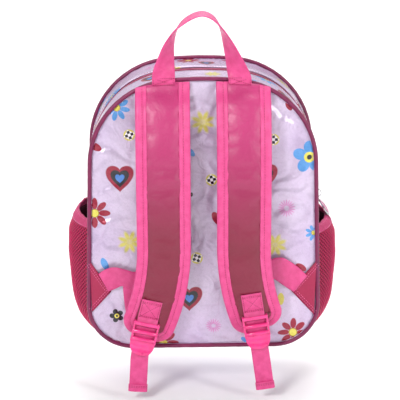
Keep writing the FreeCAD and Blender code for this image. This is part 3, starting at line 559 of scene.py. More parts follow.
def strap_satin():
    """Satin strap face, pink at the top and crimson towards the tip: painted light on the upper part, painted
    shade lower down.
    """
    finish, tree, surface = new_finish("strap_satin")
    spot = millimetres(tree)
    weave = use_group(tree, WEAVE, Position=spot, Thread=0.7, Slack=0.35)
    height = put(tree, "ShaderNodeSeparateXYZ", {0: spot}).outputs[2]
    # painted light and shade: paler pink up where the bowed strap faces the light, deep crimson lower down
    low, high = CORNER[2] / MM + 120, CORNER[2] / MM + 285
    painted_light_fade = put(tree, "ShaderNodeMapRange", {0: height, 1: low, 2: high, 3: 0.0, 4: 1.0},
               interpolation_type="SMOOTHSTEP")
    base = blend_colour(tree, painted_light_fade.outputs[0], ink(112, 0, 36), ink(190, 52, 116))
    cloud = put(tree, "ShaderNodeTexNoise", {"Vector": spot, "Scale": 0.03, "Detail": 2.0})
    base = blend_colour(tree, calc(tree, "MULTIPLY", cloud.outputs[0], 0.25), base, ink(176, 34, 92))
    base = blend_colour(tree, calc(tree, "MULTIPLY", weave.outputs["Shade"], 0.3), base, ink(120, 16, 52))
    creases = use_group(tree, CREASES, Position=spot, Size=26.0)
    soft = relief(tree, creases.outputs["Height"], 1.0)
    drive(tree, surface, Base_Color=base, Roughness=vary_value(tree, weave.outputs["Shade"], 0.38, 0.5),
          Sheen_Weight=0.12, Sheen_Roughness=0.35, Coat_Weight=0.2, Coat_Roughness=0.3,
          Normal=relief(tree, weave.outputs["Height"], 0.12, soft))
    return finish


def cloth(name, dark, light, thread=0.9, roughness=0.65, depth=0.15, sheen=0.08, satin=0.0):
    """Plain woven cloth on Object coordinates."""
    finish, tree, surface = new_finish(name)
    weave = use_group(tree, WEAVE, Position=millimetres(tree), Thread=thread, Slack=0.4)
    drive(tree, surface, Base_Color=vary(tree, weave.outputs["Shade"], dark, light, 1.6),
          Roughness=vary_value(tree, weave.outputs["Shade"], roughness - 0.08, roughness + 0.08),
          Sheen_Weight=sheen, Sheen_Roughness=0.4, Coat_Weight=satin, Coat_Roughness=0.3,
          Normal=relief(tree, weave.outputs["Height"], depth))
    return finish


def ribbed(name, dark, light, rib=1.6, pick=1.1, depth=0.25, roughness=0.45, sheen=0.1, satin=0.1):
    """Ribbed tape or webbing on its own run coordinates."""
    finish, tree, surface = new_finish(name)
    ribs = use_group(tree, RIBS, Run=run_coordinates(tree), Rib=rib, Pick=pick)
    drive(tree, surface, Base_Color=vary(tree, ribs.outputs["Shade"], dark, light, 1.7),
          Roughness=vary_value(tree, ribs.outputs["Shade"], roughness + 0.1, roughness - 0.1),
          Sheen_Weight=sheen, Sheen_Roughness=0.35, Coat_Weight=satin, Coat_Roughness=0.3,
          Normal=relief(tree, ribs.outputs["Height"], depth))
    return finish


def moulded(name, dark, light, roughness=0.3, grain=0.02, coat=0.3):
    """Moulded plastic with slight flow marks and handling scuffs."""
    finish, tree, surface = new_finish(name)
    spot = millimetres(tree)
    flow = put(tree, "ShaderNodeTexNoise", {"Vector": spot, "Scale": 0.12, "Detail": 4.0})
    fine = put(tree, "ShaderNodeTexNoise", {"Vector": spot, "Scale": 3.0, "Detail": 2.0})
    drive(tree, surface, Base_Color=vary(tree, flow.outputs[0], dark, light, 2.0),
          Roughness=vary_value(tree, flow.outputs[0], roughness - 0.08, roughness + 0.14),
          Coat_Weight=coat, Coat_Roughness=0.12, Normal=relief(tree, fine.outputs[0], grain))
    return finish


def bright_metal(name, tint):
    finish, tree, surface = new_finish(name)
    spot = millimetres(tree)
    rub = put(tree, "ShaderNodeTexNoise", {"Vector": spot, "Scale": 0.9, "Detail": 5.0})
    drive(tree, surface, Base_Color=vary(tree, rub.outputs[0],
                                         tuple(0.8 * part for part in tint[:3]) + (1.0,), tint),
          Metallic=1.0, Roughness=vary_value(tree, rub.outputs[0], 0.12, 0.34),
          Normal=relief(tree, rub.outputs[0], 0.02))
    return finish


def enamel_flower():
    """Glossy enamel with a small flower, drawn on the disc's own coordinates."""
    finish, tree, surface = new_finish("charm_enamel")
    spot = put(tree, "ShaderNodeAttribute", attribute_name="face").outputs["Vector"]
    parts = put(tree, "ShaderNodeSeparateXYZ", {0: spot})
    x, y = parts.outputs[:2]
    far = calc(tree, "SQRT", calc(tree, "ADD", calc(tree, "POWER", x, 2.0), calc(tree, "POWER", y, 2.0)))
    angle = calc(tree, "ARCTAN2", y, x)
    wave = calc(tree, "ADD", 4.3, calc(tree, "MULTIPLY",
                                       calc(tree, "COSINE", calc(tree, "MULTIPLY", angle, 5.0)), 2.2))
    petal = calc(tree, "MULTIPLY", calc(tree, "SUBTRACT", wave, far), 3.0, clamp=True)
    heart = calc(tree, "MULTIPLY", calc(tree, "SUBTRACT", 1.7, far), 3.0, clamp=True)
    cloud = put(tree, "ShaderNodeTexNoise", {"Vector": spot, "Scale": 0.3, "Detail": 3.0})
    base = vary(tree, cloud.outputs[0], ink(205, 128, 160), ink(226, 168, 192), 2.0)
    base = blend_colour(tree, petal, base, ink(190, 40, 95))
    base = blend_colour(tree, heart, base, ink(225, 210, 90))
    drive(tree, surface, Base_Color=base, Roughness=0.18, Coat_Weight=0.9, Coat_Roughness=0.04,
          Normal=relief(tree, calc(tree, "ADD", petal, heart), 0.12))
    return finish


PEARL = pearl_cloth("pearl_print")
STRAP_SATIN = strap_satin()
BINDING_TAPE = ribbed("binding_tape", ink(202, 44, 116), ink(230, 84, 150), rib=0.9, pick=0.8, depth=0.1,
                      satin=0.2)
WEBBING = ribbed("pink_webbing", ink(198, 36, 108), ink(234, 82, 152), rib=1.7, pick=1.2, depth=0.22,
                 roughness=0.4, satin=0.25)
PIPING_SATIN = ribbed("piping_satin", ink(98, 4, 56), ink(132, 16, 80), rib=2.2, pick=0.9, depth=0.1,
                      satin=0.15)
ELASTIC = ribbed("pocket_elastic", ink(182, 26, 92), ink(216, 56, 124), rib=1.3, pick=2.4, depth=0.35)
NET_YARN = cloth("net_yarn", ink(186, 8, 80), ink(220, 30, 108), thread=0.4, roughness=0.5, depth=0.06)
# painted shade: the backing under the net is a real layer, coloured far darker than the yarn for the shade
# inside the pocket
NET_BACKING_SHADED = cloth("net_backing", ink(80, 4, 32), ink(108, 8, 44), thread=0.8, depth=0.2)
TAB_CLOTH = cloth("tab_cloth", ink(150, 4, 62), ink(188, 16, 86), thread=0.8, roughness=0.5, depth=0.16,
                  satin=0.1)
LINING_CLOTH = cloth("lining_cloth", ink(98, 16, 52), ink(132, 34, 76), thread=0.6, depth=0.1)
TAPE_CLOTH = cloth("zip_tape_cloth", ink(118, 20, 62), ink(160, 44, 94), thread=0.55, depth=0.12)
BOARD_PLASTIC = moulded("board_plastic", ink(44, 42, 46), ink(62, 60, 66), roughness=0.5, coat=0.0)
ZIP_PLASTIC = moulded("zip_coil_plastic", ink(138, 26, 72), ink(176, 52, 104), roughness=0.32)
BUCKLE_PLASTIC = moulded("adjuster_plastic", ink(214, 30, 110), ink(234, 58, 140), roughness=0.28, coat=0.45)
BRIGHT_METAL = bright_metal("bright_plate", (0.5, 0.49, 0.5, 1.0))
CHARM_ENAMEL = enamel_flower()
THREAD = moulded("pink_thread", ink(222, 90, 150), ink(246, 140, 190), roughness=0.4, coat=0.1)
DARK_THREAD = moulded("crimson_thread", ink(140, 20, 66), ink(176, 40, 92), roughness=0.45, coat=0.1)


# ---------------------------------------------------------------- geometry node trees

def geometry_tree(name, inputs):
    tree = bpy.data.node_groups.new(name, "GeometryNodeTree")
    tree.interface.new_socket("Geometry", in_out="INPUT", socket_type="NodeSocketGeometry")
    for label, (kind, value) in inputs.items():
        socket = tree.interface.new_socket(label, in_out="INPUT", socket_type=kind)
        if value is not None:
            socket.default_value = value
    tree.interface.new_socket("Geometry", in_out="OUTPUT", socket_type="NodeSocketGeometry")
    return tree, tree.nodes.new("NodeGroupInput").outputs, tree.nodes.new("NodeGroupOutput")


def build_stitch_tree():
    """Rounded stitches set along every edge path, tipped into the cloth at both ends."""
    tree, given, out = geometry_tree("stitch_rows", {
        "Pitch": (FLOAT, 0.003), "Length": (FLOAT, 0.0022), "Thread": (FLOAT, 0.0004),
        "Material": ("NodeSocketMaterial", None)})
    path = put(tree, "GeometryNodeMeshToCurve", {"Mesh": given["Geometry"]})
    spaced = put(tree, "GeometryNodeResampleCurve", {"Curve": path.outputs[0], "Length": given["Pitch"]},
                 mode="LENGTH")
    stitch = put(tree, "GeometryNodeMeshUVSphere", {"Segments": 6, "Rings": 4, "Radius": 0.5})
    shape = put(tree, "ShaderNodeCombineXYZ", {0: given["Thread"], 1: given["Thread"], 2: given["Length"]})
    sized = put(tree, "GeometryNodeTransform", {"Geometry": stitch.outputs[0], "Scale": shape.outputs[0]})
    tangent = put(tree, "GeometryNodeInputTangent")
    turn = put(tree, "FunctionNodeAlignRotationToVector", {"Vector": tangent.outputs[0]}, axis="Z")
    rows = put(tree, "GeometryNodeInstanceOnPoints", {
        "Points": spaced.outputs[0], "Instance": sized.outputs[0], "Rotation": turn.outputs[0]})
    real = put(tree, "GeometryNodeRealizeInstances", {0: rows.outputs[0]})
    painted = put(tree, "GeometryNodeSetMaterial",
                  {"Geometry": real.outputs[0], "Material": given["Material"]})
    tree.links.new(painted.outputs[0], out.inputs[0])
    return tree


def build_teeth_tree():
    """Coil teeth across a zip: one small bead-ended bar at each step along the path."""
    tree, given, out = geometry_tree("coil_teeth", {
        "Pitch": (FLOAT, 0.0015), "Reach": (FLOAT, 0.0015), "Wire": (FLOAT, 0.0005),
        "Material": ("NodeSocketMaterial", None)})
    path = put(tree, "GeometryNodeMeshToCurve", {"Mesh": given["Geometry"]})
    spaced = put(tree, "GeometryNodeResampleCurve", {"Curve": path.outputs[0], "Length": given["Pitch"]},
                 mode="LENGTH")
    bead = put(tree, "GeometryNodeMeshUVSphere", {"Segments": 8, "Rings": 6, "Radius": 1.0})
    shape = put(tree, "ShaderNodeCombineXYZ", {0: given["Wire"], 1: given["Reach"], 2: given["Wire"]})
    sized = put(tree, "GeometryNodeTransform", {"Geometry": bead.outputs[0], "Scale": shape.outputs[0]})
    rows = put(tree, "GeometryNodeInstanceOnPoints",
               {"Points": spaced.outputs[0], "Instance": sized.outputs[0]})
    real = put(tree, "GeometryNodeRealizeInstances", {0: rows.outputs[0]})
    painted = put(tree, "GeometryNodeSetMaterial",
                  {"Geometry": real.outputs[0], "Material": given["Material"]})
    tree.links.new(painted.outputs[0], out.inputs[0])
    return tree


def build_net_tree():
    """Yarn laid along every edge of a net, with a fixed small wobble in its thickness."""
    tree, given, out = geometry_tree("net_yarns", {
        "Yarn": (FLOAT, 0.0004), "Seed": ("NodeSocketInt", 7), "Material": ("NodeSocketMaterial", None)})
    path = put(tree, "GeometryNodeMeshToCurve", {"Mesh": given["Geometry"]})
    wobble = put(tree, "FunctionNodeRandomValue", {"Seed": given["Seed"]}, data_type="FLOAT")
    wobble.inputs[2].default_value = 0.85
    wobble.inputs[3].default_value = 1.15
    sized = put(tree, "GeometryNodeSetCurveRadius", {"Curve": path.outputs[0], "Radius": wobble.outputs[1]})
    profile = put(tree, "GeometryNodeCurvePrimitiveCircle", {"Resolution": 4})
    tree.links.new(given["Yarn"], profile.inputs["Radius"])
    tube = put(tree, "GeometryNodeCurveToMesh",
               {"Curve": sized.outputs[0], "Profile Curve": profile.outputs[0]})
    scale = tube.inputs.get("Scale")
    if scale is not None:
        tree.links.new(wobble.outputs[1], scale)
    flat = put(tree, "GeometryNodeSetShadeSmooth", {0: tube.outputs[0]})
    real = put(tree, "GeometryNodeRealizeInstances", {0: flat.outputs[0]})
    painted = put(tree, "GeometryNodeSetMaterial",
                  {"Geometry": real.outputs[0], "Material": given["Material"]})
    tree.links.new(painted.outputs[0], out.inputs[0])
    return tree


STITCH_TREE, TEETH_TREE, NET_TREE = build_stitch_tree(), build_teeth_tree(), build_net_tree()


def grow(name, points, edges, tree, **values):
    """Object made by a geometry tree from edge paths in bag millimetres, kept as a plain mesh."""
    mesh = bpy.data.meshes.new(name)
    mesh.from_pydata(place(points).tolist(), edges, [])
    piece = bpy.data.objects.new(name, mesh)
    bpy.context.scene.collection.objects.link(piece)
    modifier = piece.modifiers.new("grow", "NODES")
    modifier.node_group = tree
    for item in tree.interface.items_tree:
        if item.in_out == "INPUT" and item.name in values:
            modifier[item.identifier] = values[item.name]
    keep_evaluated(piece)
    piece.data.shade_smooth()
    return piece


def paths(lines):
    """Points and edges of several polylines."""
    points, edges = [], []
    for line in lines:
        start = len(points)
        points += [tuple(point) for point in line]
        edges += [(index, index + 1) for index in range(start, len(points) - 1)]
    return points, edges


def sew(name, lines, thread=THREAD, pitch=3.2, length=2.4, thick=0.55):
    return grow(name, *paths(lines), STITCH_TREE, Pitch=pitch * MM, Length=length * MM, Thread=thick * MM,
                Material=thread)


# ---------------------------------------------------------------- print layout

CRIMSON, BLUE, YELLOW, BLACK, ROSE = (ink(150, 0, 46), ink(86, 150, 214), ink(206, 196, 84), ink(24, 16, 30),
                                      ink(206, 96, 176))
HEART, DAISY, FLOWER, SPLASH, DISC, BURST, OVAL = range(1, 8)
# kind, x, z, size, turn in degrees, colour
BACK_MOTIFS = [
    (DAISY, -94.1, 277.5, 15, 10, BLUE), (DISC, -80.8, 247.1, 6.6, 20, YELLOW),
               (OVAL, -119, 234, 8.5, 60, CRIMSON),
    (HEART, -92, 196.5, 16.2, 0, CRIMSON), (DAISY, -120.8, 157.4, 18, 22, CRIMSON),
    (SPLASH, -82.4, 123.8, 14, 0, YELLOW), (OVAL, -110.8, 97.4, 8, 20, BLUE),
               (FLOWER, -98.3, 36.2, 8.5, 0, BLACK),
    (SPLASH, -0.2, 260.7, 14, 0, YELLOW), (OVAL, -13.4, 226.9, 6, 40, BLUE),
               (DISC, 9.2, 194.7, 6.8, 10, YELLOW),
    (OVAL, -13, 178.7, 2.6, 0, BLACK), (OVAL, 15, 150, 9, 30, CRIMSON), (DISC, -7.5, 104.3, 7, 30, YELLOW),
    (HEART, -16.1, 55, 15.6, 0, CRIMSON), (DAISY, -46, 2, 18, 22, CRIMSON),
    (BURST, 11.6, 22.4, 9, 0, ROSE), (BURST, 92.7, 161.3, 10, 0, ROSE), (OVAL, 46.6, 4.5, 5, 50, BLUE),
    (FLOWER, 117.3, 219.8, 19, 54, BLUE), (HEART, 68, 197.7, 15, 0, CRIMSON),
               (DISC, 77.3, 240.5, 6.6, 0, YELLOW),
    (SPLASH, 80.2, 118.4, 14, 0, YELLOW), (DAISY, 123.8, 131.8, 10, 0, BLUE),
               (OVAL, 109.9, 91.4, 7.5, 55, CRIMSON),
    (OVAL, 87.5, 54.2, 7.5, 0, YELLOW), (DAISY, 102, 12.5, 18, 22, CRIMSON),
               (OVAL, 94, 277.7, 6, 30, CRIMSON),
    (DAISY, -45, 288, 14, 10, CRIMSON), (HEART, 45, 150, 12, 0, CRIMSON), (FLOWER, -45, 90, 12, 0, BLUE),
    (DISC, 40, 90, 6, 0, YELLOW), (BURST, -50, 225, 9, 0, ROSE), (DAISY, 45, 268, 14, 0, CRIMSON),
]


SCATTER_TRIES = 1500


def scatter_motifs(width, height, seed, gap=8, fixed=()):
    """Motifs spread over a width and height with a fixed seed, after the fixed ones."""
    pick = random.Random(seed)
    chosen = list(fixed)
    styles = [(HEART, 12.5, CRIMSON), (DAISY, 17, CRIMSON), (FLOWER, 13, BLUE), (SPLASH, 12, YELLOW),
              (DISC, 6.6, YELLOW), (BURST, 9, ROSE), (OVAL, 7, CRIMSON), (OVAL, 6, BLUE)]
    for _ in range(SCATTER_TRIES):
        kind, size, tint = styles[len(chosen) % len(styles)]
        x, z = pick.uniform(*width), pick.uniform(*height)
        apart = min((math.hypot(x - other[1], z - other[2]) - other[3] - size for other in chosen),
                    default=99)
        if apart > gap:
            turn = 0 if kind == HEART else pick.uniform(0, 360)
            chosen.append((kind, x, z, size, turn, tint))
    return chosen


def lay_print(piece, flat, motifs):
    """Gives each face the motif nearest to it; flat holds each point's place on the cloth in millimetres."""
    mesh = piece.data
    count, loops = len(mesh.polygons), len(mesh.loops)
    corners = np.zeros(loops, np.int32)
    mesh.loops.foreach_get("vertex_index", corners)
    starts, totals = np.zeros(count, np.int32), np.zeros(count, np.int32)
    mesh.polygons.foreach_get("loop_start", starts)
    mesh.polygons.foreach_get("loop_total", totals)
    owner = np.repeat(np.arange(count), totals)
    spots = np.asarray(flat)[corners]
    centres = np.add.reduceat(spots, starts) / totals[:, None]
    table = np.array([motif[:5] for motif in motifs])
    gaps = np.hypot(centres[:, None, 0] - table[None, :, 1],
                    centres[:, None, 1] - table[None, :, 2]) - table[None, :, 3]
    nearest = gaps.argmin(1)[owner]
    kind, x, z, size, turn = table[nearest].T
    turn = np.radians(turn)
    dx, dz = (spots[:, 0] - x) / size, (spots[:, 1] - z) / size
    local = np.stack([dx * np.cos(turn) + dz * np.sin(turn), dz * np.cos(turn) - dx * np.sin(turn), kind], 1)
    set_vectors(mesh, "motif", local, "CORNER")
    tints = np.array([motif[5] for motif in motifs], np.float32)[nearest]
    layer = mesh.attributes.new("motif_tint", "FLOAT_COLOR", "CORNER")
    layer.data.foreach_set("color", tints.ravel())


def flat_places(piece):
    """The flat attribute of every point, in millimetres."""
    layer = piece.data.attributes["flat"]
    values = np.zeros(len(piece.data.vertices) * 3, np.float32)
    layer.data.foreach_get("vector", values)
    return values.reshape(-1, 3)[:, :2]


# ---------------------------------------------------------------- shell

def settle(piece, held, pressure, cap, slack=0.03, stiffness=8.0, bending=0.08):
    """Lets a padded piece swell and crease as cloth; held is how firmly each point keeps its place."""
    rest = np.zeros(len(piece.data.vertices) * 3)
    piece.data.vertices.foreach_get("co", rest)
    rest = rest.reshape(-1, 3)
    group = piece.vertex_groups.new(name="held")
    for index, weight in enumerate(held):
        if weight > 0:
            group.add([index], float(weight), "REPLACE")
    cloth_modifier = piece.modifiers.new("cloth", "CLOTH")
    made = cloth_modifier.settings
    made.quality = 5
    made.mass = 0.25
    made.tension_stiffness = made.compression_stiffness = stiffness
    made.shear_stiffness = stiffness / 2
    made.bending_stiffness = bending
    made.vertex_group_mass = "held"
    made.pin_stiffness = 1.0
    made.shrink_min = -slack
    made.use_pressure = True
    made.uniform_pressure_force = pressure
    made.effector_weights.gravity = 0
    cloth_modifier.collision_settings.use_collision = False
    cloth_modifier.point_cache.frame_end = 20
    for step in range(1, 21):
        bpy.context.scene.frame_set(step)
    graph = bpy.context.evaluated_depsgraph_get()
    settled = np.zeros_like(rest).ravel()
    piece.evaluated_get(graph).data.vertices.foreach_get("co", settled)
    piece.modifiers.clear()
    bpy.context.scene.frame_set(1)
    shift = settled.reshape(-1, 3) - rest
    shift[~np.isfinite(shift).all(1)] = 0
    length = np.linalg.norm(shift, axis=1, keepdims=True)
    shift *= np.minimum(1, cap * MM / np.maximum(length, 1e-9))
    piece.data.vertices.foreach_set("co", (rest + shift).ravel())
    piece.vertex_groups.clear()
    piece.data.update()


# folds pressed into the back cloth: start x, z, end x, z, height and half width
BACK_FOLDS = [
    (-22, 281, 8, 284, 1.5, 3.6), (-20, 270, -4, 281, 1.3, 3.0), (4, 262, 9, 282, 1.2, 3.0),
              (-8, 240, 6, 252, 0.9, 4.0),
    (66, 281, 84, 264, 1.4, 3.4), (86, 262, 100, 257, 1.1, 3.0), (80, 188, 110, 203, 1.5, 4.0),
              (72, 177, 112, 183, 1.3, 3.6),
    (84, 156, 112, 160, 1.5, 4.2), (88, 139, 110, 131, 1.3, 3.6), (90, 112, 116, 120, 1.0, 4.0),
              (-122, 216, -106, 231, 1.3, 3.6),
    (-116, 141, -88, 152, 1.2, 4.0), (-118, 178, -100, 186, 1.0, 3.6), (-108, 48, -92, 35, 1.4, 3.6),
    (-110, 35, -94, 26, 1.3, 3.2), (-112, 120, -84, 108, 1.1, 4.4), (-46, 26, -36, 35, 1.1, 3.2),
              (-104, 268, -82, 283, 1.3, 3.4), (-6, 168, 8, 190, 1.0, 5.0),
    (-4, 90, 2, 140, 0.9, 5.0), (60, 30, 78, 20, 1.2, 3.6), (-20, 20, 2, 10, 0.9, 4.0),
              (96, 60, 116, 52, 1.1, 3.6),
]


def fold_lift(flat, folds):
    """Height of pressed folds: sharper on one flank, fading towards both ends."""
    lift = np.zeros(len(flat))
    for x0, z0, x1, z1, height, wide in folds:
        along = np.array([x1 - x0, z1 - z0])
        length = np.hypot(*along)
        along = along / length
        run = (flat - [x0, z0]) @ along
        aside = (flat - [x0, z0]) @ np.array([-along[1], along[0]]) + 2.2 * np.sin(run / 7 + x0)
        reach = smooth((run + length * 0.25) / (length * 0.5)) * smooth((length * 1.25 - run)
                                                                        / (length * 0.5))
        flank = np.where(aside > 0, wide * 0.55, wide * 1.5)
        lift += height * reach * np.exp(-(aside / flank) ** 2)
    return lift


def make_back_panel():
    flat, faces = panel_mesh(2.9)
    depth = rim_distance(flat)
    spots = np.c_[flat, np.zeros(len(flat))]
    warp = np.c_[pucker(spots, 40, 1.7), np.zeros(len(flat)), pucker(spots, 40, 8.8)] * 22
    bent = spots[:, [0, 2, 1]] + warp
    ridges = np.abs(pucker(bent, 42, 3.1))
    folds = np.abs(pucker(bent * [0.7, 1, 1.3], 22, 6.4))
    busy = smooth(0.45 + 1.6 * pucker(spots, 60, 11.0) + 0.5 * np.exp(-((flat[:, 1] - 275) / 30) ** 2))
    lift = (pucker(spots, 60, 2.0) * 0.8 + ridges * 0.8 * busy + folds * 0.6 * busy
            - 1.1 * fold_lift(flat, BACK_FOLDS))
    edge = depth + 3 * pucker(spots, 12, 4.0)
    y = 0.9 + lift * smooth(edge / 16) - 0.8 * smooth(depth / 40)
    points = np.c_[flat[:, 0], y, flat[:, 1]]
    piece = mesh_object("printed_back", points, faces, PEARL)
    set_vectors(piece.data, "flat", np.c_[flat, np.zeros(len(flat))])
    face_towards(piece, Vector((0, -1, 0)))
    settle(piece, np.where(depth < 1.5, 1.0, 0.0), 0.5, 1.6, slack=0.012)
    thicken(piece, 1.4, -1.0)
    lay_print(piece, flat_places(piece), BACK_MOTIFS)
    finish_piece(piece, "bag", "printed_fabric", "back_panel", "back_foam")


def face_towards(piece, direction):
    """Turns a sheet's faces so that most of them look in a direction."""
    total = sum((face.normal * face.area for face in piece.data.polygons), Vector())
    if total.dot(direction) < 0:
        piece.data.flip_normals()


def gusset_rows():
    low = np.linspace(0, ZIP_REAR, 12)
    slot = np.linspace(ZIP_REAR, ZIP_FRONT, 5)[1:-1]
    high = np.linspace(ZIP_FRONT, BAG_DEPTH, 12)
    return np.concatenate([low, slot, high])


def gusset_grid():
    """Points round the gusset, row by row from back to front, with their places on the flat cloth."""
    points, flat = [], []
    for y in gusset_rows():
        seam = min(y, BAG_DEPTH - y)
        for index in range(RIM_COUNT):
            (x, z), (nx, nz) = RIM[index], RIM_NORMAL[index]
            run = RIM_RUN[index]
            gather = 0.45 * math.sin(run * 0.9 + 3 * curl(x, y, z, 30)) * math.exp(-seam / 5)
            swell = 1.3 * curl(x, y, z, 38, 5.0) * float(smooth(seam / 18)) + 0.8 * float(smooth(seam / 40))
            out = FLARE * y / BAG_DEPTH + min(gather + swell, 1.6)
            points.append((x + nx * out, y, z + nz * out))
            flat.append((run, y, 0))
    return np.array(points), np.array(flat)


def gusset_faces(rows, wanted):
    """Quads of the gusset grid for which wanted(depth, height) is true at the middle."""
    chosen = []
    for row in range(len(rows) - 1):
        for column in range(RIM_COUNT):
            after = (column + 1) % RIM_COUNT
            height = (RIM[column][1] + RIM[after][1]) / 2
            if wanted((rows[row] + rows[row + 1]) / 2, height):
                chosen.append((row * RIM_COUNT + column, (row + 1) * RIM_COUNT + column,
                               (row + 1) * RIM_COUNT + after, row * RIM_COUNT + after))
    return chosen


def drop_loose(piece):
    form = bmesh.new()
    form.from_mesh(piece.data)
    bmesh.ops.delete(form, geom=[point for point in form.verts if not point.link_faces], context="VERTS")
    form.to_mesh(piece.data)
    form.free()


def gusset_motifs():
    """Motifs round the gusset: places are run along the outline and depth."""
    def run_at(x, z):
        return float(RIM_RUN[np.argmin(np.hypot(*(RIM - np.array([x, z])).T))])

    top = [(DAISY, -15, 92, 14, 0, CRIMSON), (HEART, 5, 76, 10, 0, CRIMSON), (DAISY, 36, 96, 14, 20, CRIMSON),
           (HEART, -56, 28, 11, 0, CRIMSON), (DAISY, 76, 42, 14, 10, BLUE), (SPLASH, 10, 26, 10, 0, YELLOW)]
    fixed = [(kind, run_at(x, 300), depth, size, turn, tint) for kind, x, depth, size, turn, tint in top]
    fixed += [(DAISY, run_at(-100, 276), 62, 15, 0, BLUE), (FLOWER, run_at(-118, 240), 66, 11, 0, BLUE)]
    total = RIM_RUN[-1]
    return scatter_motifs((10, total - 10), (10, BAG_DEPTH - 8), 11, 10, fixed)


def make_gusset():
    points, flat = gusset_grid()
    rows = gusset_rows()

    def on_bag(depth, height):
        if height < ZIP_END:
            return True
        if depth < ZIP_REAR:
            return True
        return depth > ZIP_FRONT and height < SPLIT_HEIGHT

    piece = mesh_object("printed_gusset", points, gusset_faces(rows, on_bag), PEARL)
    set_vectors(piece.data, "flat", flat)
    drop_loose(piece)
    outward_from_axis(piece)
    thicken(piece, PRINT_WALL, -1.0)
    lay_print(piece, flat_places(piece), gusset_motifs())
    finish_piece(piece, "bag", "printed_fabric", "gusset_lower", "gusset_upper_rear")


def outward_from_axis(piece):
    """Faces of a band round the bag look away from its middle."""
    middle = at(0, BAG_DEPTH / 2, PANEL_HEIGHT / 2)
    score = 0.0
    for face in piece.data.polygons:
        away = face.center - middle
        away.y = 0
        score += face.normal.dot(away) * face.area
    if score < 0:
        piece.data.flip_normals()


def dome_height(depth):
    """How far the front stands out at a distance from its seam."""
    share = np.clip(depth / (DOME_INSET + 16), 0, 1)
    return DOME_DEPTH * (1 - (1 - share) ** 2.4)


def front_points(inner=0.0):
    """Flat places, faces and domed points of the front, which can lie inside its cloth."""
    flat, faces = panel_mesh(4.6)
    grown = flat.copy()
    depth = rim_distance(flat)
    near = np.clip(1 - depth / 60, 0, 1)
    centre = np.array([0, PANEL_HEIGHT / 2])
    away = (flat - centre) / np.hypot(*(flat - centre).T)[:, None].clip(1)
    grown += away * (FLARE * near)[:, None]
    grown[:RIM_COUNT] = RIM + RIM_NORMAL * FLARE
    spots = np.c_[flat, np.zeros(len(flat))]
    wave = (pucker(spots, 48, 7.7) * 1.1 + pucker(spots, 18, 2.2) * 0.45) * smooth(depth / 20)
    y = BAG_DEPTH + np.minimum(dome_height(depth) + wave, DOME_DEPTH + 1.0) - inner
    return flat, faces, np.c_[grown[:, 0], y, grown[:, 1]]


def make_front():
    """Domed front and the front half of the zipped gusset in one cloth."""
    flat, faces, points = front_points()
    band, band_flat = gusset_grid()
    rows = gusset_rows()
    start = len(points)
    strip = gusset_faces(rows, lambda y, height: y > ZIP_FRONT and height > SPLIT_HEIGHT)
    everything = faces + [tuple(index + start for index in face) for face in strip]
    piece = mesh_object("printed_front", np.concatenate([points, band]), everything, PEARL)
    cloth_flat = np.concatenate([np.c_[flat, np.zeros(len(flat))], band_flat + np.array([2000.0, 0, 0])])
    set_vectors(piece.data, "flat", cloth_flat)
    drop_loose(piece)
    front_faces(piece)
    held = np.ones(len(piece.data.vertices))
    places = to_bag(np.array([tuple(point.co) for point in piece.data.vertices]))
    inside = rim_distance(places[:, [0, 2]])
    held[(inside > 3.5) & (places[:, 1] > BAG_DEPTH + 0.5)] = 0
    settle(piece, held, 0.5, 2.0, slack=0.015)
    thicken(piece, PRINT_WALL, -1.0)
    motifs = scatter_motifs((-115, 115), (12, 296), 5, 10)
    motifs += [(kind, run + 2000, depth_at, size, turn, tint)
               for kind, run, depth_at, size, turn, tint in gusset_motifs()]
    lay_print(piece, flat_places(piece), motifs)
    note_piece(piece, "printed_fabric", "front_panel_lower", "front_panel_upper", "gusset_upper_front")
    flap_blend(piece)


def front_faces(piece):
    """Turns every face away from the bag's middle."""
    middle = at(0, BAG_DEPTH / 2, PANEL_HEIGHT / 2)
    form = bmesh.new()
    form.from_mesh(piece.data)
    for face in form.faces:
        face.normal_update()
        if face.normal.dot(face.calc_center_median() - middle) < 0:
            face.normal_flip()
    form.to_mesh(piece.data)
    form.free()


def flap_blend(piece):
    """Bakes a piece's placement into its mesh."""
    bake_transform(piece)


LINING_INSET = 2.4


def make_front_lining():
    """Lining behind the front and the flap, a little inside their cloth."""
    _, faces, points = front_points(2.6)
    rows = gusset_rows()
    band, _ = gusset_grid()
    for index, point in enumerate(band):
        nx, nz = RIM_NORMAL[index % RIM_COUNT]
        point -= np.array([nx, 0, nz]) * LINING_INSET
    edge = RIM + RIM_NORMAL * (FLARE - LINING_INSET)
    points[:RIM_COUNT] = np.c_[edge[:, 0], np.full(RIM_COUNT, BAG_DEPTH - 1.0), edge[:, 1]]
    start = len(points)
    strip = gusset_faces(rows, lambda y, height: y > ZIP_FRONT and height > SPLIT_HEIGHT)
    piece = mesh_object("front_lining", np.concatenate([points, band]),
                        faces + [tuple(index + start for index in face) for face in strip], LINING_CLOTH)
    drop_loose(piece)
    front_faces(piece)
    piece.data.flip_normals()
    thicken(piece, 0.8, -1.0)
    note_piece(piece, "lining", "front_padding_lower", "front_padding_upper")
    flap_blend(piece)


# ---------------------------------------------------------------- piping

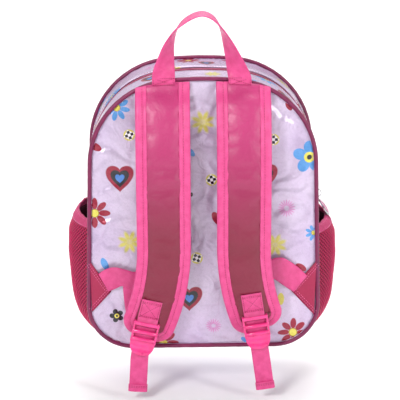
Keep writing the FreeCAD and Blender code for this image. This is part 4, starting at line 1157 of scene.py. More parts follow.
def rim_tube(name, grow_by, depth, radius, finish):
    """Satin cord round the outline, its wrapping a little rippled."""
    rows, runs = [], []
    steps = 12
    for index in range(RIM_COUNT):
        (x, z), (nx, nz) = RIM[index], RIM_NORMAL[index]
        for step in range(steps):
            angle = 2 * math.pi * step / steps
            ripple = 1 + 0.035 * math.sin(RIM_RUN[index] * 1.9) * (0.5 + 0.5 * math.cos(angle))
            out = grow_by + radius * ripple * math.cos(angle)
            y = depth + radius * ripple * math.sin(angle)
            rows.append((x + nx * out, y, z + nz * out))
            runs.append((radius * angle, RIM_RUN[index], 0))
    faces = []
    for index in range(RIM_COUNT):
        after = (index + 1) % RIM_COUNT
        for step in range(steps):
            turn = (step + 1) % steps
            faces.append((index * steps + step, index * steps + turn, after * steps + turn,
                          after * steps + step))
    piece = mesh_object(name, rows, faces, finish)
    set_vectors(piece.data, "run", runs)
    outward(piece)
    return piece


def make_piping():
    back = rim_tube("back_piping_cord", 1.2, -0.4, PIPING_RADIUS, PIPING_SATIN)
    finish_piece(back, "bag", "piping", "back_piping")
    front = rim_tube("front_piping_cord", 1.2 + FLARE, BAG_DEPTH + 0.4, PIPING_RADIUS, PIPING_SATIN)
    note_piece(front, "piping", "front_piping_lower", "front_piping_upper")
    flap_blend(front)


def rim_line(inset, depth, low=-10.0, high=400.0):
    """Parts of a line along the outline between two heights."""
    lines, current = [], []
    for index in list(range(RIM_COUNT)) + [0]:
        (x, z), (nx, nz) = RIM[index], RIM_NORMAL[index]
        if low <= z <= high:
            current.append((x - nx * inset, depth, z - nz * inset))
        elif current:
            lines.append(current)
            current = []
    if current:
        lines.append(current)
    if len(lines) > 1 and low <= RIM[0][1] <= high:
        lines[0] = lines.pop() + lines[0]
    return [line for line in lines if len(line) > 1]


# ---------------------------------------------------------------- zip

def make_zip():
    """Coil teeth, painted tapes and stops, and the stitch rows beside them."""
    flare = FLARE * ZIP_MIDDLE / BAG_DEPTH
    width = 1.5
    for name, side, low, body, slot, nodes in (
            ("zip_teeth_rear", -1, SPLIT_HEIGHT, "bag", "zip_coil", ["zip_coil_rear"]),
            ("zip_teeth_front", 1, SPLIT_HEIGHT + 0.4, "front_flap", "zip_coil", ["zip_coil_front"])):
        lines = rim_line(-flare, ZIP_MIDDLE + side * (width / 2 - 0.1), low)
        teeth = grow(name, *paths(lines), TEETH_TREE, Pitch=1.45 * MM, Reach=0.95 * MM, Wire=0.62 * MM,
                     Material=ZIP_PLASTIC)
        finish_piece(teeth, body, slot, *nodes)
    shut = rim_line(-flare, ZIP_MIDDLE, ZIP_END + 3, SPLIT_HEIGHT)
    teeth = grow("zip_teeth_shut", *paths(shut), TEETH_TREE, Pitch=1.45 * MM, Reach=1.75 * MM, Wire=0.62 * MM,
                 Material=ZIP_PLASTIC)
    finish_piece(teeth, "bag", "zip_coil")
    for node in ("zip_tape_rear", "zip_tape_front", "zip_end_tapes"):
        paint(node, TAPE_CLOTH)
    paint("zip_stops", BRIGHT_METAL)
    rows = rim_line(-flare - 1.2, ZIP_REAR - 1.6, ZIP_END + 2)[:1]
    finish_piece(sew("zip_stitches_rear", rows, DARK_THREAD), "bag", "zip_tape")
    rows = rim_line(-flare - 1.4, ZIP_FRONT + 1.6, SPLIT_HEIGHT + 20)
    finish_piece(sew("zip_stitches_front", rows, DARK_THREAD), "front_flap", "zip_tape")


def paint(node, finish):
    """Gives a carried-over node its material."""
    for piece in bpy.data.objects:
        if piece.get("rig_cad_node") == node or piece.name == node:
            piece.data.materials.clear()
            piece.data.materials.append(finish)


# ---------------------------------------------------------------- webbing

def catmull(values, per_span):
    """Smooth path through rows of values."""
    values = np.asarray(values, float)
    padded = np.concatenate([2 * values[:1] - values[1:2], values, 2 * values[-1:] - values[-2:-1]])
    rows = []
    for index in range(len(values) - 1):
        a, b, c, d = padded[index:index + 4]
        for step in range(per_span):
            t = step / per_span
            rows.append(0.5 * (2 * b + (c - a) * t + (2 * a - 5 * b + 4 * c - d) * t ** 2
                               + (3 * b - a - 3 * c + d) * t ** 3))
    rows.append(values[-1])
    return np.array(rows)


def ribbon(name, edges, wall, finish, per_span=6, columns=9, smoothing=True, crown=0.0):
    """Closed band of webbing between two edges: rows of (first edge, second edge) points."""
    edges = np.asarray(edges, float).reshape(len(edges), 6)
    rows = catmull(edges, per_span) if smoothing else edges
    first, second = rows[:, :3], rows[:, 3:]
    middle = (first + second) / 2
    along = np.gradient(middle, axis=0)
    across = second - first
    width = np.linalg.norm(across, axis=1)
    normal = np.cross(along, across)
    normal /= np.linalg.norm(normal, axis=1)[:, None]
    travel = np.concatenate([[0], np.cumsum(np.linalg.norm(np.diff(middle, axis=0), axis=1))])
    shares = np.sin(np.linspace(-math.pi / 2, math.pi / 2, columns))
    points, runs = [], []
    for index in range(len(rows)):
        for face in (1, -1):
            for share in shares[::face]:
                half = wall / 2 * (1 - share ** 8) ** 0.5 + crown * (1 - share ** 2)
                spot = middle[index] + across[index] * share / 2 + normal[index] * face * max(half, 0.04)
                points.append(spot)
                runs.append((share * width[index] / 2, travel[index], 0))
    count = 2 * columns
    faces = grid_faces(len(rows), count, closed=True)
    faces.append(tuple(range(count)))
    faces.append(tuple(range((len(rows) - 1) * count, len(rows) * count))[::-1])
    piece = mesh_object(name, points, faces, finish)
    set_vectors(piece.data, "run", runs)
    outward(piece)
    return piece


# ---------------------------------------------------------------- carry loop

HANDLE_FEET, HANDLE_WIDTH, HANDLE_WALL = (-42.6, 40.3), 25.0, 2.0
WEB_WALL = 1.5
LOOP_TOP = -PANEL_LOW.z / MM + HANDLE_WALL / 2


def make_carry_loop():
    """Loop of webbing: flat legs sewn to the back seam, twisted a quarter turn at the top."""
    # x, depth, height, lean of the path from upright, twist; in millimetres and degrees
    route = [(-42.6, -4.6, 303, 0, 0), (-42.6, -5.4, 308, 0, 2), (-42.6, -5.8, 313, 1, 6),
             (-41.8, -5.2, 322, 4, 24),
             (-39.4, -5, 335, 9, 46), (-36.3, -5, 348, 16, 62), (-30.2, -5, 361.5, 34, 78),
             (-22.6, -5, 370.6, 52, 90),
             (-12.0, -5, 377.8, 66, 93), (-1.4, -5, LOOP_TOP, 90, 93), (7.4, -5, 378.8, 110, 93),
             (14.6, -5, 373.0, 128, 90), (21.6, -5, 362.0, 150, 78), (27.6, -5, 348.1, 163, 62),
             (33.1, -5, 333, 167, 45), (37.4, -5.2, 320, 172, 24), (39.8, -5.8, 312, 178, 6),
             (40.3, -5.4, 307, 180, 2), (40.3, -4.6, 302, 180, 0)]
    stations = []
    for x, y, z, lean, twist in route:
        lean, twist = math.radians(lean), math.radians(twist)
        outer = np.array([-math.cos(lean), 0, math.sin(lean)])
        across = outer * math.cos(twist) - np.array([0, 1, 0]) * math.sin(twist)
        middle = np.array([x, y, z])
        stations.append((*(middle - across * HANDLE_WIDTH / 2), *(middle + across * HANDLE_WIDTH / 2)))
    loop = ribbon("carry_loop", stations, HANDLE_WALL, WEBBING, per_span=4, columns=13)
    note_piece(loop, "webbing", "handle_webbing", "handle_ends")
    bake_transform(loop)
    lines = []
    for x in HANDLE_FEET:
        low, high, y = 303.6, 311.0, -6.9
        left, right = x - 11, x + 11
        lines += [[(left, y, high), (right, y, high)], [(left, y, low), (right, y, low)],
                  [(left, y, low), (left, y, high)], [(right, y, low), (right, y, high)],
                  [(left, y, low), (right, y, high)], [(left, y, high), (right, y, low)]]
    finish_piece(sew("carry_loop_stitches", lines, DARK_THREAD, 2.4, 1.9, 0.5), "bag", "webbing")


# ---------------------------------------------------------------- shoulder straps

STRAP_SPREAD, STRAP_HALF, BEND_HEIGHT, BEND_RADIUS = 44.0, 29.75, 128.0, 265.0
STRAP_TOP, STRAP_APEX, STRAP_BOW = 300.0, 195.0, 34.0
STRAP_ENDS = {"top": 6.5, "foot": 14.0}
TIP_HEIGHT = {"left": 15.0, "right": 24.0}
TIP_RADIUS, PAD_HALF, FOLD_WIDTH = 20.0, 5.0, 12.4


def strap_depth(height):
    """Depth of the strap's middle surface at a height."""
    high = height > STRAP_APEX
    reach = (STRAP_TOP if high else TIP_HEIGHT["left"]) - STRAP_APEX
    fall = STRAP_BOW - STRAP_ENDS["top" if high else "foot"]
    radius = (reach ** 2 + fall ** 2) / (2 * fall)
    return -STRAP_BOW + radius - math.sqrt(radius ** 2 - (height - STRAP_APEX) ** 2)


def rim_height(across):
    """Height of the shell's outline over a distance from its middle."""
    return PANEL_HEIGHT - CROWN_RADIUS + math.sqrt(CROWN_RADIUS ** 2 - min(abs(across), 110) ** 2)


def strap_length(label):
    lean = math.asin((BEND_HEIGHT - TIP_HEIGHT[label]) / BEND_RADIUS)
    return STRAP_TOP - BEND_HEIGHT + lean * BEND_RADIUS


def strap_point(side, run, across, lift):
    """Point on a strap: run down from its top, across towards the side, lift off its middle surface."""
    straight = STRAP_TOP - BEND_HEIGHT
    angle = max(run - straight, 0) / BEND_RADIUS
    reach = BEND_RADIUS - across
    x = STRAP_SPREAD + BEND_RADIUS - reach * math.cos(angle)
    z = BEND_HEIGHT - reach * math.sin(angle) + (straight - run if run < straight else 0)
    slope = (strap_depth(z + 0.5) - strap_depth(z - 0.5))
    scale = math.hypot(1, slope)
    tuck = 1 - float(smooth((run + 1.5) / 18))
    y = strap_depth(z) * (1 - tuck) - 3.5 * tuck
    return side * x, y - lift / scale, z + lift * slope / scale + tuck * (rim_height(x) - 302.4)


def strap_edge(label, run, across):
    """Distance from the strap's edge."""
    left = strap_length(label) - run
    if left < TIP_RADIUS and abs(across) > STRAP_HALF - TIP_RADIUS:
        return TIP_RADIUS - math.hypot(TIP_RADIUS - left, abs(across) - STRAP_HALF + TIP_RADIUS)
    return min(left, STRAP_HALF - abs(across))


def pad_lift(inset, run):
    """Half thickness of the padding at a distance from the edge."""
    share = min(max((inset - 6) / 15, 0), 1)
    thick = 0.8 + (PAD_HALF - 0.8) * (1 - (1 - share) ** 2)
    return thick * (0.45 + 0.55 * float(smooth((run + 2) / 26)))


def tip_half(label, run):
    left = strap_length(label) - run
    if left >= TIP_RADIUS:
        return STRAP_HALF - 0.6
    return STRAP_HALF - 0.6 - TIP_RADIUS + math.sqrt(max(TIP_RADIUS ** 2 - (TIP_RADIUS - left) ** 2, 0))


def make_strap_pad(label, side):
    """Padded strap with rounded sides, closed at both ends."""
    length = strap_length(label)
    runs = list(np.arange(-1.5, length - TIP_RADIUS, 4.0)) + [length - TIP_RADIUS * (1 - math.sin(turn)) - 0.6
                                                             for turn in np.linspace(0, math.pi / 2, 12)]
    shares = np.sin(np.linspace(-math.pi / 2, math.pi / 2, 25))
    points, held = [], []
    for run in runs:
        half = tip_half(label, run)
        for face in (1, -1):
            for share in shares[::face]:
                across = share * half
                inset = strap_edge(label, run, across)
                sway = 0.5 * curl(across, side * 40, run, 26, 4.4)
                sway += 0.9 * math.exp(-((run - 94)
                                         / 7) ** 2) - 1.4 * math.exp(-((run - 106 - 0.08 * across) / 6) ** 2)
                sway *= float(smooth((inset - 8) / 12))
                points.append(strap_point(side, run, across, face * (pad_lift(inset, run) + sway)))
                held.append(1.0 if inset < 11 or run < 4 else 0.0)
    count = 2 * len(shares)
    faces = grid_faces(len(runs), count, closed=True)
    faces += [tuple(range(count)), tuple(range((len(runs) - 1) * count, len(runs) * count))[::-1]]
    piece = mesh_object(f"strap_pad_{label}", points, faces, STRAP_SATIN)
    outward(piece)
    settle(piece, held, 3.0, 1.4, slack=0.02)
    finish_piece(piece, f"strap_{label}", "strap_fabric", f"strap_cover_{label}", f"strap_foam_{label}")
    return piece


def edge_path(label):
    """Points round a strap's edge in run and across, with inward normals."""
    length, inner = strap_length(label), STRAP_HALF - TIP_RADIUS
    path = []
    for run in np.arange(-1.0, length - TIP_RADIUS, 3.6):
        path.append((run, -STRAP_HALF, 0, 1))
    for turn in np.linspace(0, math.pi / 2, 13):
        path.append((length - TIP_RADIUS + TIP_RADIUS * math.sin(turn), -inner - TIP_RADIUS * math.cos(turn),
                     -math.sin(turn), math.cos(turn)))
    for across in np.linspace(-inner, inner, 7)[1:-1]:
        path.append((length, across, -1, 0))
    other = [(run, -across, nr, -na) for run, across, nr, na in path[:-5][::-1]]
    return np.array(path + other)


# inset from the edge and lift off the middle, round the folded tape: face, edge and underside
TAPE_SECTION = [(FOLD_WIDTH, 3.0), (FOLD_WIDTH - 0.1, 4.1), (11.2, 4.15), (9.6, 3.75), (8.4, 3.15),
                (7.6, 2.35), (6.9, 2.55),
                (5.2, 2.85), (3.0, 2.8), (1.2, 2.5), (0.2, 1.5), (0.0, 0.0), (0.2, -1.5), (1.2, -2.4),
                (3.4, -2.6),
                (5.6, -2.6), (7.2, -2.2), (7.4, -1.2)]


def make_binding(label, side):
    """Folded tape all round a strap's edge, with a stitched groove."""
    path = edge_path(label)
    travel = np.concatenate([[0], np.cumsum(np.hypot(*np.diff(path[:, :2], axis=0).T))])
    wobble = [0.25 * curl(side * 9, 0, step, 14, 2.0) for step in travel]
    points, runs = [], []
    for index, (run, across, nr, na) in enumerate(path):
        flatten = 0.5 + 0.5 * float(smooth((run + 2) / 20))
        around = 0.0
        for step, (inset, lift) in enumerate(TAPE_SECTION):
            if step:
                around += math.dist(TAPE_SECTION[step - 1], TAPE_SECTION[step])
            deep = inset + (wobble[index] if 1 < inset < 12 else 0)
            points.append(strap_point(side, run + nr * deep, across + na * deep, lift * flatten))
            runs.append((around, travel[index], 0))
    count = len(TAPE_SECTION)
    piece = mesh_object(f"strap_binding_tape_{label}", points, grid_faces(len(path), count, closed=True),
                        BINDING_TAPE)
    set_vectors(piece.data, "run", runs)
    outward(piece)
    finish_piece(piece, f"strap_{label}", "binding", f"strap_binding_{label}")
    rows = []
    for inset, lift in ((7.6, 2.55), (7.3, -2.4)):
        rows.append([strap_point(side, run + nr * inset, across + na * inset,
                                 lift * (0.5 + 0.5 * float(smooth((run + 2) / 20))))
                     for run, across, nr, na in path])
    finish_piece(sew(f"strap_binding_stitches_{label}", rows, DARK_THREAD, 3.0, 2.3, 0.5), f"strap_{label}",
                 "binding")


# ---------------------------------------------------------------- adjusters, keepers and tails

KEEPER_WIDTH, ADJUSTER_WIDTH, ADJUSTER_LENGTH = 23.0, 29.0, 38.0
ADJUSTER_WALL, BAR_RADIUS = 3.8, 1.6
BAR_HEIGHTS, TONGUE_TOP = (-10.6, -19.6), -21.5
TAIL_WIDTH, HEM_LENGTH = 20.0, 8


def hung_frame(joint):
    """Matrix in bag millimetres at a joint: X along its bar, Z up the strap, Y to the bag."""
    along = -Vector(JOINTS[joint]["axis"])
    deep = Vector((0, 1, 0))
    up = along.cross(deep)
    if up.z < 0:
        up = -up
    centre = Vector(to_bag(JOINTS[joint]["pos_m"]))
    matrix = Matrix((along, deep, up)).transposed().to_4x4()
    matrix.translation = centre
    return matrix


def local_path(matrix, path, half):
    """Ribbon edges from (depth, height) pairs in a hung frame."""
    rows = []
    for y, z in path:
        rows.append((*(matrix @ Vector((-half, y, z))), *(matrix @ Vector((half, y, z)))))
    return rows


def strap_face_depth(matrix, x, z, lift):
    """Depth in a hung frame of a point over the strap's face."""
    spot = matrix @ Vector((x, 0, z))
    surface = strap_depth(spot.z) - lift
    return surface - spot.y


def make_keeper(label):
    """Webbing doubled round the adjuster's upper bar and sewn down with a crossed box."""
    matrix = hung_frame(f"adjuster_{label}_tilt")
    top = 29.0
    wrap = BAR_RADIUS + 1.2
    path = []
    for z in (top, top - 3, 22, 16, 10, 6):
        path.append((strap_face_depth(matrix, 0, z, 7.6 if z < top - 1 else 7.0), z))
    for turn in np.linspace(20, 160, 6):
        angle = math.radians(turn)
        path.append((-wrap * math.cos(angle), -wrap * math.sin(angle)))
    for z in (4, 9, 15, 22, top - 2):
        path.append((strap_face_depth(matrix, 0, z, 5.6), z))
    piece = ribbon(f"adjuster_keeper_web_{label}", local_path(matrix, path, KEEPER_WIDTH / 2), 1.7, WEBBING,
                   4)
    finish_piece(piece, f"strap_{label}", "webbing", f"adjuster_keeper_{label}")
    left, right, low, high = -9.8, 9.8, 7.5, 26.5

    def line(x0, z0, x1, z1):
        spots = []
        for share in np.linspace(0, 1, 9):
            x, z = x0 + (x1 - x0) * share, z0 + (z1 - z0) * share
            spots.append(matrix @ Vector((x, strap_face_depth(matrix, 0, z, 8.6), z)))
        return spots

    rows = [line(left, low, right, low), line(left, high, right, high), line(left, low, left, high),
            line(right, low, right, high), line(left, low, right, high), line(left, high, right, low),
            line(left, low + 1.4, right, low + 1.4), line(left, high - 1.4, right, high - 1.4)]
    finish_piece(sew(f"keeper_stitches_{label}", rows, DARK_THREAD, 2.2, 1.8, 0.55), f"strap_{label}",
                 "webbing")


def rounded_block(form, low, high, bevel):
    """Box with rounded edges between two corners."""
    made = bmesh.ops.create_cube(form, size=1.0)
    low, high = Vector(low), Vector(high)
    size = high - low
    for point in made["verts"]:
        point.co = Vector((point.co.x * size.x, point.co.y * size.y, point.co.z * size.z)) + (low + high) / 2
    edges = list({edge for point in made["verts"] for edge in point.link_edges})
    bmesh.ops.bevel(form, geom=edges, offset=bevel, segments=3, profile=0.5, affect="EDGES")


def cross_bar(form, half, y, z, wide, deep):
    """Oval bar across the adjuster."""
    steps, rings = 14, []
    for x, share in ((-half, 0.7), (-half + 0.8, 1.0), (half - 0.8, 1.0), (half, 0.7)):
        rings.append([form.verts.new((x, y + share * deep * math.sin(2 * math.pi * step / steps),
                                      z + share * wide * math.cos(2 * math.pi * step / steps)))
                      for step in range(steps)])
    for first, second in zip(rings, rings[1:]):
        for step in range(steps):
            after = (step + 1) % steps
            form.faces.new((first[step], first[after], second[after], second[step]))
    form.faces.new(rings[0][::-1])
    form.faces.new(rings[-1])


def make_adjuster(label):
    """Moulded three-bar adjuster with a curved thumb tongue."""
    matrix = hung_frame(f"adjuster_{label}_tilt")
    form = bmesh.new()
    half, wall = ADJUSTER_WIDTH / 2, ADJUSTER_WALL / 2
    for edge in (-1, 1):
        inner, outer = sorted((edge * half, edge * (half - 2.4)))
        rounded_block(form, (inner, -wall, TONGUE_TOP - 2.0), (outer, wall, 2.0), 0.75)
        rounded_block(form, (inner, -5.7, -2.0), (outer, -wall + 0.6, 2.6), 0.75)
    rounded_block(form, (-half + 0.4, -5.6, -1.7), (half - 0.4, -4.2, 2.5), 0.6)
    cross_bar(form, half - 1.2, 0, 0, BAR_RADIUS, BAR_RADIUS)
    for height in BAR_HEIGHTS:
        cross_bar(form, half - 1.2, -0.9, height, 2.3, 2.0)
    columns, rows = 17, 12
    fall = ADJUSTER_LENGTH + TONGUE_TOP
    grid = []
    for row in range(rows):
        share = row / (rows - 1)
        z = TONGUE_TOP - share * fall
        reach = half - 0.6 - 4.6 * share ** 3
        line = []
        for column in range(columns):
            across = 2 * column / (columns - 1) - 1
            x = across * reach
            drop = 2.2 * across ** 2 * share
            y = -1.0 - 2.3 * share ** 1.6 + 0.7 * across ** 2 * share
            groove = 0.28 * math.cos(share * 5
                                     * math.pi) * float(smooth((share - 0.2) / 0.2)) * (1 - across ** 6)
            line.append((x, y - groove, z + drop))
        grid.append(line)
    thick = 1.7
    front = [[form.verts.new(point) for point in line] for line in grid]
    back = [[form.verts.new((x, y + thick, z)) for x, y, z in line] for line in grid]
    for row in range(rows - 1):
        for column in range(columns - 1):
            form.faces.new((front[row][column], front[row][column + 1], front[row + 1][column + 1],
                            front[row + 1][column]))
            form.faces.new((back[row][column], back[row + 1][column], back[row + 1][column + 1],
                            back[row][column + 1]))
    border = ([(0, column) for column in range(columns)] + [(row, columns - 1) for row in range(1, rows)]
              + [(rows - 1, column) for column in range(columns - 2, -1, -1)]
              + [(row, 0) for row in range(rows - 2, 0, -1)])
    for (r0, c0), (r1, c1) in zip(border, border[1:] + border[:1]):
        form.faces.new((front[r0][c0], back[r0][c0], back[r1][c1], front[r1][c1]))
    bmesh.ops.recalc_face_normals(form, faces=form.faces)
    for point in form.verts:
        point.co = Vector(place(matrix @ point.co)[0])
    mesh = bpy.data.meshes.new(f"adjuster_frame_{label}")
    form.to_mesh(mesh)
    form.free()
    mesh.materials.append(BUCKLE_PLASTIC)
    mesh.shade_smooth()
    mesh.set_sharp_from_angle(angle=math.radians(50))
    piece = bpy.data.objects.new(mesh.name, mesh)
    bpy.context.scene.collection.objects.link(piece)
    finish_piece(piece, f"adjuster_{label}", "adjuster_plastic", f"adjuster_{label}")


def make_tail(label):
    """Webbing threaded round the adjuster's bars, and its free end below with a folded hem."""
    matrix = hung_frame(f"adjuster_{label}_tilt")
    tail = hung_frame(f"tail_{label}_swing")
    half = TAIL_WIDTH / 2
    hem_low = -43.5 if label == "left" else -48.5
    hem_top = hem_low + HEM_LENGTH
    path = [(1.2, -4.4), (1.5, -7.0), (2.3, -10.6), (1.9, -14.6), (2.4, -19.6), (2.4, -24.0), (2.2, -30.0),
            (1.6, -35.0)]
    rows = []
    for y, z in path:
        rows += local_path(matrix, [(y, z)], half + 1.8 * float(smooth((z + 32) / 10)))
    for z in (-3.0, -10.0, -18.0, -27.0, hem_top - 2.0):
        bow = 0.5 * math.sin(z * 0.09)
        rows += local_path(tail, [(bow, z)], half)
    piece = ribbon(f"tail_webbing_{label}", rows, WEB_WALL, WEBBING, 4)
    note_piece(piece, "webbing", f"threaded_web_{label}", f"tail_web_{label}")
    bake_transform(piece)
    hem_rows = local_path(tail, [(0.0, hem_top + 0.6), (0.0, hem_top - 1), (0.1, hem_top - 4),
                                 (0.0, hem_low + 1), (0.0, hem_low)],
                          half + 0.8)
    hem = ribbon(f"tail_hem_fold_{label}", hem_rows, 3.6, WEBBING, 3, crown=0.4)
    finish_piece(hem, f"tail_{label}", "webbing", f"tail_hem_{label}")

    def line(x0, z0, x1, z1):
        return [tail @ Vector((x0 + (x1 - x0) * share, -2.25,
                               z0 + (z1 - z0) * share)) for share in np.linspace(0, 1, 7)]

    rows = [line(-9.4, hem_top - 1.2, 9.4, hem_top - 1.2), line(-9.4, hem_top - 2.8, 9.4, hem_top - 2.8)]
    finish_piece(sew(f"tail_stitches_{label}", rows, DARK_THREAD, 2.4, 1.9, 0.5), f"tail_{label}", "webbing")


# ---------------------------------------------------------------- side tabs and anchor webbing

TAB_CORNERS = {"left": ((127.4, 102), (104.0, 65.5), (126.2, 41)),
               "right": ((127.4, 99.5), (98.6, 64.7), (125.4, 35))}
# edges of the webbing, each (distance from the middle, depth, height):
# out of the tab, then down behind the strap
ANCHOR_OUT = {
    "left": [((118, -2.6, 87), (107, -2.8, 66)), ((112, -3.2, 91.6), (103, -3.6, 67.8)),
             ((105.3, -4.6, 94.8), (98, -5.2, 70.4)), ((98, -6.2, 95.9), (92.5, -6.6, 73.4)),
             ((90, -7.0, 94.2), (86, -7.8, 72.6)), ((80, -7.4, 91.0), (78, -8.4, 68.6)),
             ((72, -7.6, 88.0), (71, -8.6, 64))],
    "right": [((117, -2.6, 82), (102, -2.8, 63)), ((110, -3.2, 89.6), (96, -3.6, 67)),
              ((103, -4.6, 96), (90, -5.2, 71.8)), ((96, -6.2, 101.4), (84.6, -6.6, 76.2)),
              ((88.7, -7.0, 105.4), (79.6, -7.6, 80)), ((80, -7.6, 105.4), (74, -8.2, 81)),
              ((72, -8, 102.0), (68, -8.6, 78))],
}
ANCHOR_DOWN = {
    "left": [((91.0, -4.8, 90), (67.5, -4.8, 90)), ((90.8, -5.4, 80), (67.0, -5.4, 80)),
             ((90.4, -6.6, 68), (66.4, -6.6, 68)), ((89.4, -8.6, 56), (65.6, -8.4, 56)),
             ((87.4, -10.6, 43), (64.6, -10.4, 42)),
             ((82.0, -12.2, 29), (60.0, -12.2, 27))],
    "right": [((78.0, -5.0, 98), (54.5, -5.0, 98)), ((77.6, -5.6, 86), (54.2, -5.6, 86)),
              ((77.0, -6.8, 72), (54.0, -6.8, 72)), ((76.0, -8.8, 58), (53.6, -8.6, 58)),
              ((74.4, -10.8, 46), (53.0, -10.6, 46)),
              ((72.0, -12.2, 35), (52.0, -12.2, 34))],
}


def make_side_tab(label, side):
    """Triangle of doubled cloth sewn into the side seam, its inner edges folded."""
    top, tip, low = (Vector(corner) for corner in TAB_CORNERS[label])
    levels = 13
    points, faces, index = [], [], {}
    for face in (0, 1):
        for row in range(levels):
            for column in range(levels - row):
                a, b = row / (levels - 1), column / (levels - 1)
                spot = low + (top - low) * a + (tip - low) * b
                inner = 1 - a - b
                fold = math.exp(-(inner * 34) ** 2 / 14) * 0.5 + math.exp(-(min(a, inner) * 38 - 4.5) ** 2
                                                                          / 3.5) * 0.25
                y = -2.4 - fold if face == 0 else -0.3
                if min(a, inner) < 1e-6:
                    y = -1.9 if face == 0 else -0.7
                index[face, row, column] = len(points)
                points.append((side * spot.x, y, spot.y))
    for face in (0, 1):
        for row in range(levels - 1):
            for column in range(levels - 1 - row):
                faces.append((index[face, row, column], index[face, row, column + 1],
                              index[face, row + 1, column]))
                if column < levels - 2 - row:
                    faces.append((index[face, row, column + 1], index[face, row + 1, column + 1],
                                  index[face, row + 1, column]))
    ring = ([(0, column) for column in range(levels)] + [(row, levels - 1 - row) for row in range(1, levels)]
            + [(row, 0) for row in range(levels - 2, 0, -1)])
    for first, second in zip(ring, ring[1:] + ring[:1]):
        faces.append((index[(0, *first)], index[(0, *second)], index[(1, *second)], index[(1, *first)]))
    piece = mesh_object(f"side_tab_cloth_{label}", points, faces, TAB_CLOTH)
    outward(piece)
    finish_piece(piece, "bag", "tab_fabric", f"side_tab_{label}")
    rows = []
    for inset in (2.6, 5.0):
        line = []
        for start, end, other in ((top, tip, low), (tip, low, top)):
            across = (end - start).normalized()
            inward = Vector((-across.y, across.x))
            if inward.dot(other - start) < 0:
                inward = -inward
            for share in np.linspace(0.06, 0.86 if start is top else 0.94, 12):
                spot = start.lerp(end, share) + inward * inset
                line.append((side * spot.x, -2.75, spot.y))
        rows.append(line)
    finish_piece(sew(f"side_tab_stitches_{label}", rows, THREAD, 2.8, 2.1, 0.5), "bag", "tab_fabric")


def make_anchor(label, side):
    """Webbing out of the side tab, folded down behind the strap towards the adjuster."""
    def edges(table):
        return [(side * a[0], a[1], a[2], side * b[0], b[1], b[2]) for a, b in table]

    out = ribbon(f"anchor_webbing_{label}", edges(ANCHOR_OUT[label]), WEB_WALL, WEBBING, 5)
    finish_piece(out, "bag", "webbing")
    down = ribbon(f"anchor_fall_{label}", edges(ANCHOR_DOWN[label]), WEB_WALL, WEBBING, 5)
    note_piece(down, "webbing", f"anchor_web_{label}")
    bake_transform(down)


# ---------------------------------------------------------------- side pockets

POCKET_HEIGHTS = {label: (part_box(f"pocket_band_{label}")[1].z - PANEL_LOW.z) / MM - 0.5 for label, _ in SIDES}
POCKET_BULGE, POCKET_INSET, BAND_HEIGHT = 25.0, 2.6, 11.0
# share of the pocket's height, share of its bulge at mid depth
POCKET_FORM = np.array([(0.0, 0.5), (0.01, 0.66), (0.05, 0.7), (0.11, 0.7), (0.24, 0.72), (0.42, 0.86),
                        (0.68, 1.0),
                        (0.85, 0.96), (0.93, 0.8), (1.0, 0.54)])


def side_half(height):
    """Half width of the shell at a height."""
    right = RIM[:, 0] > 0
    heights, widths = RIM[right][:, 1], RIM[right][:, 0]
    order = np.argsort(heights)
    return float(np.interp(height, heights[order], widths[order]))


def pocket_point(label, side, share, height, sink=0.0):
    """Point on a side pocket: share from its rear seam to its front seam, at a height."""
    level = height / POCKET_HEIGHTS[label]
    bulge = POCKET_BULGE * float(np.interp(level, *POCKET_FORM.T)) - sink
    rear, front = POCKET_INSET, BAG_DEPTH - POCKET_INSET
    half = (front - rear) / 2
    root = side_half(max(height, 2.0)) + 0.6 + FLARE * share
    radius = (half ** 2 + bulge ** 2) / (2 * max(bulge, 0.5))
    y = (share - 0.5) * 2 * half
    out = math.sqrt(max(radius ** 2 - y ** 2, 0)) - (radius - bulge)
    slump = 0.8 * curl(side * 30, share * 90, height, 24, 6.0) * min(1, 4 * share * (1 - share) * 2)
    return side * (root + max(out, 0) + slump * (sink == 0)), (rear + front) / 2 + y, height


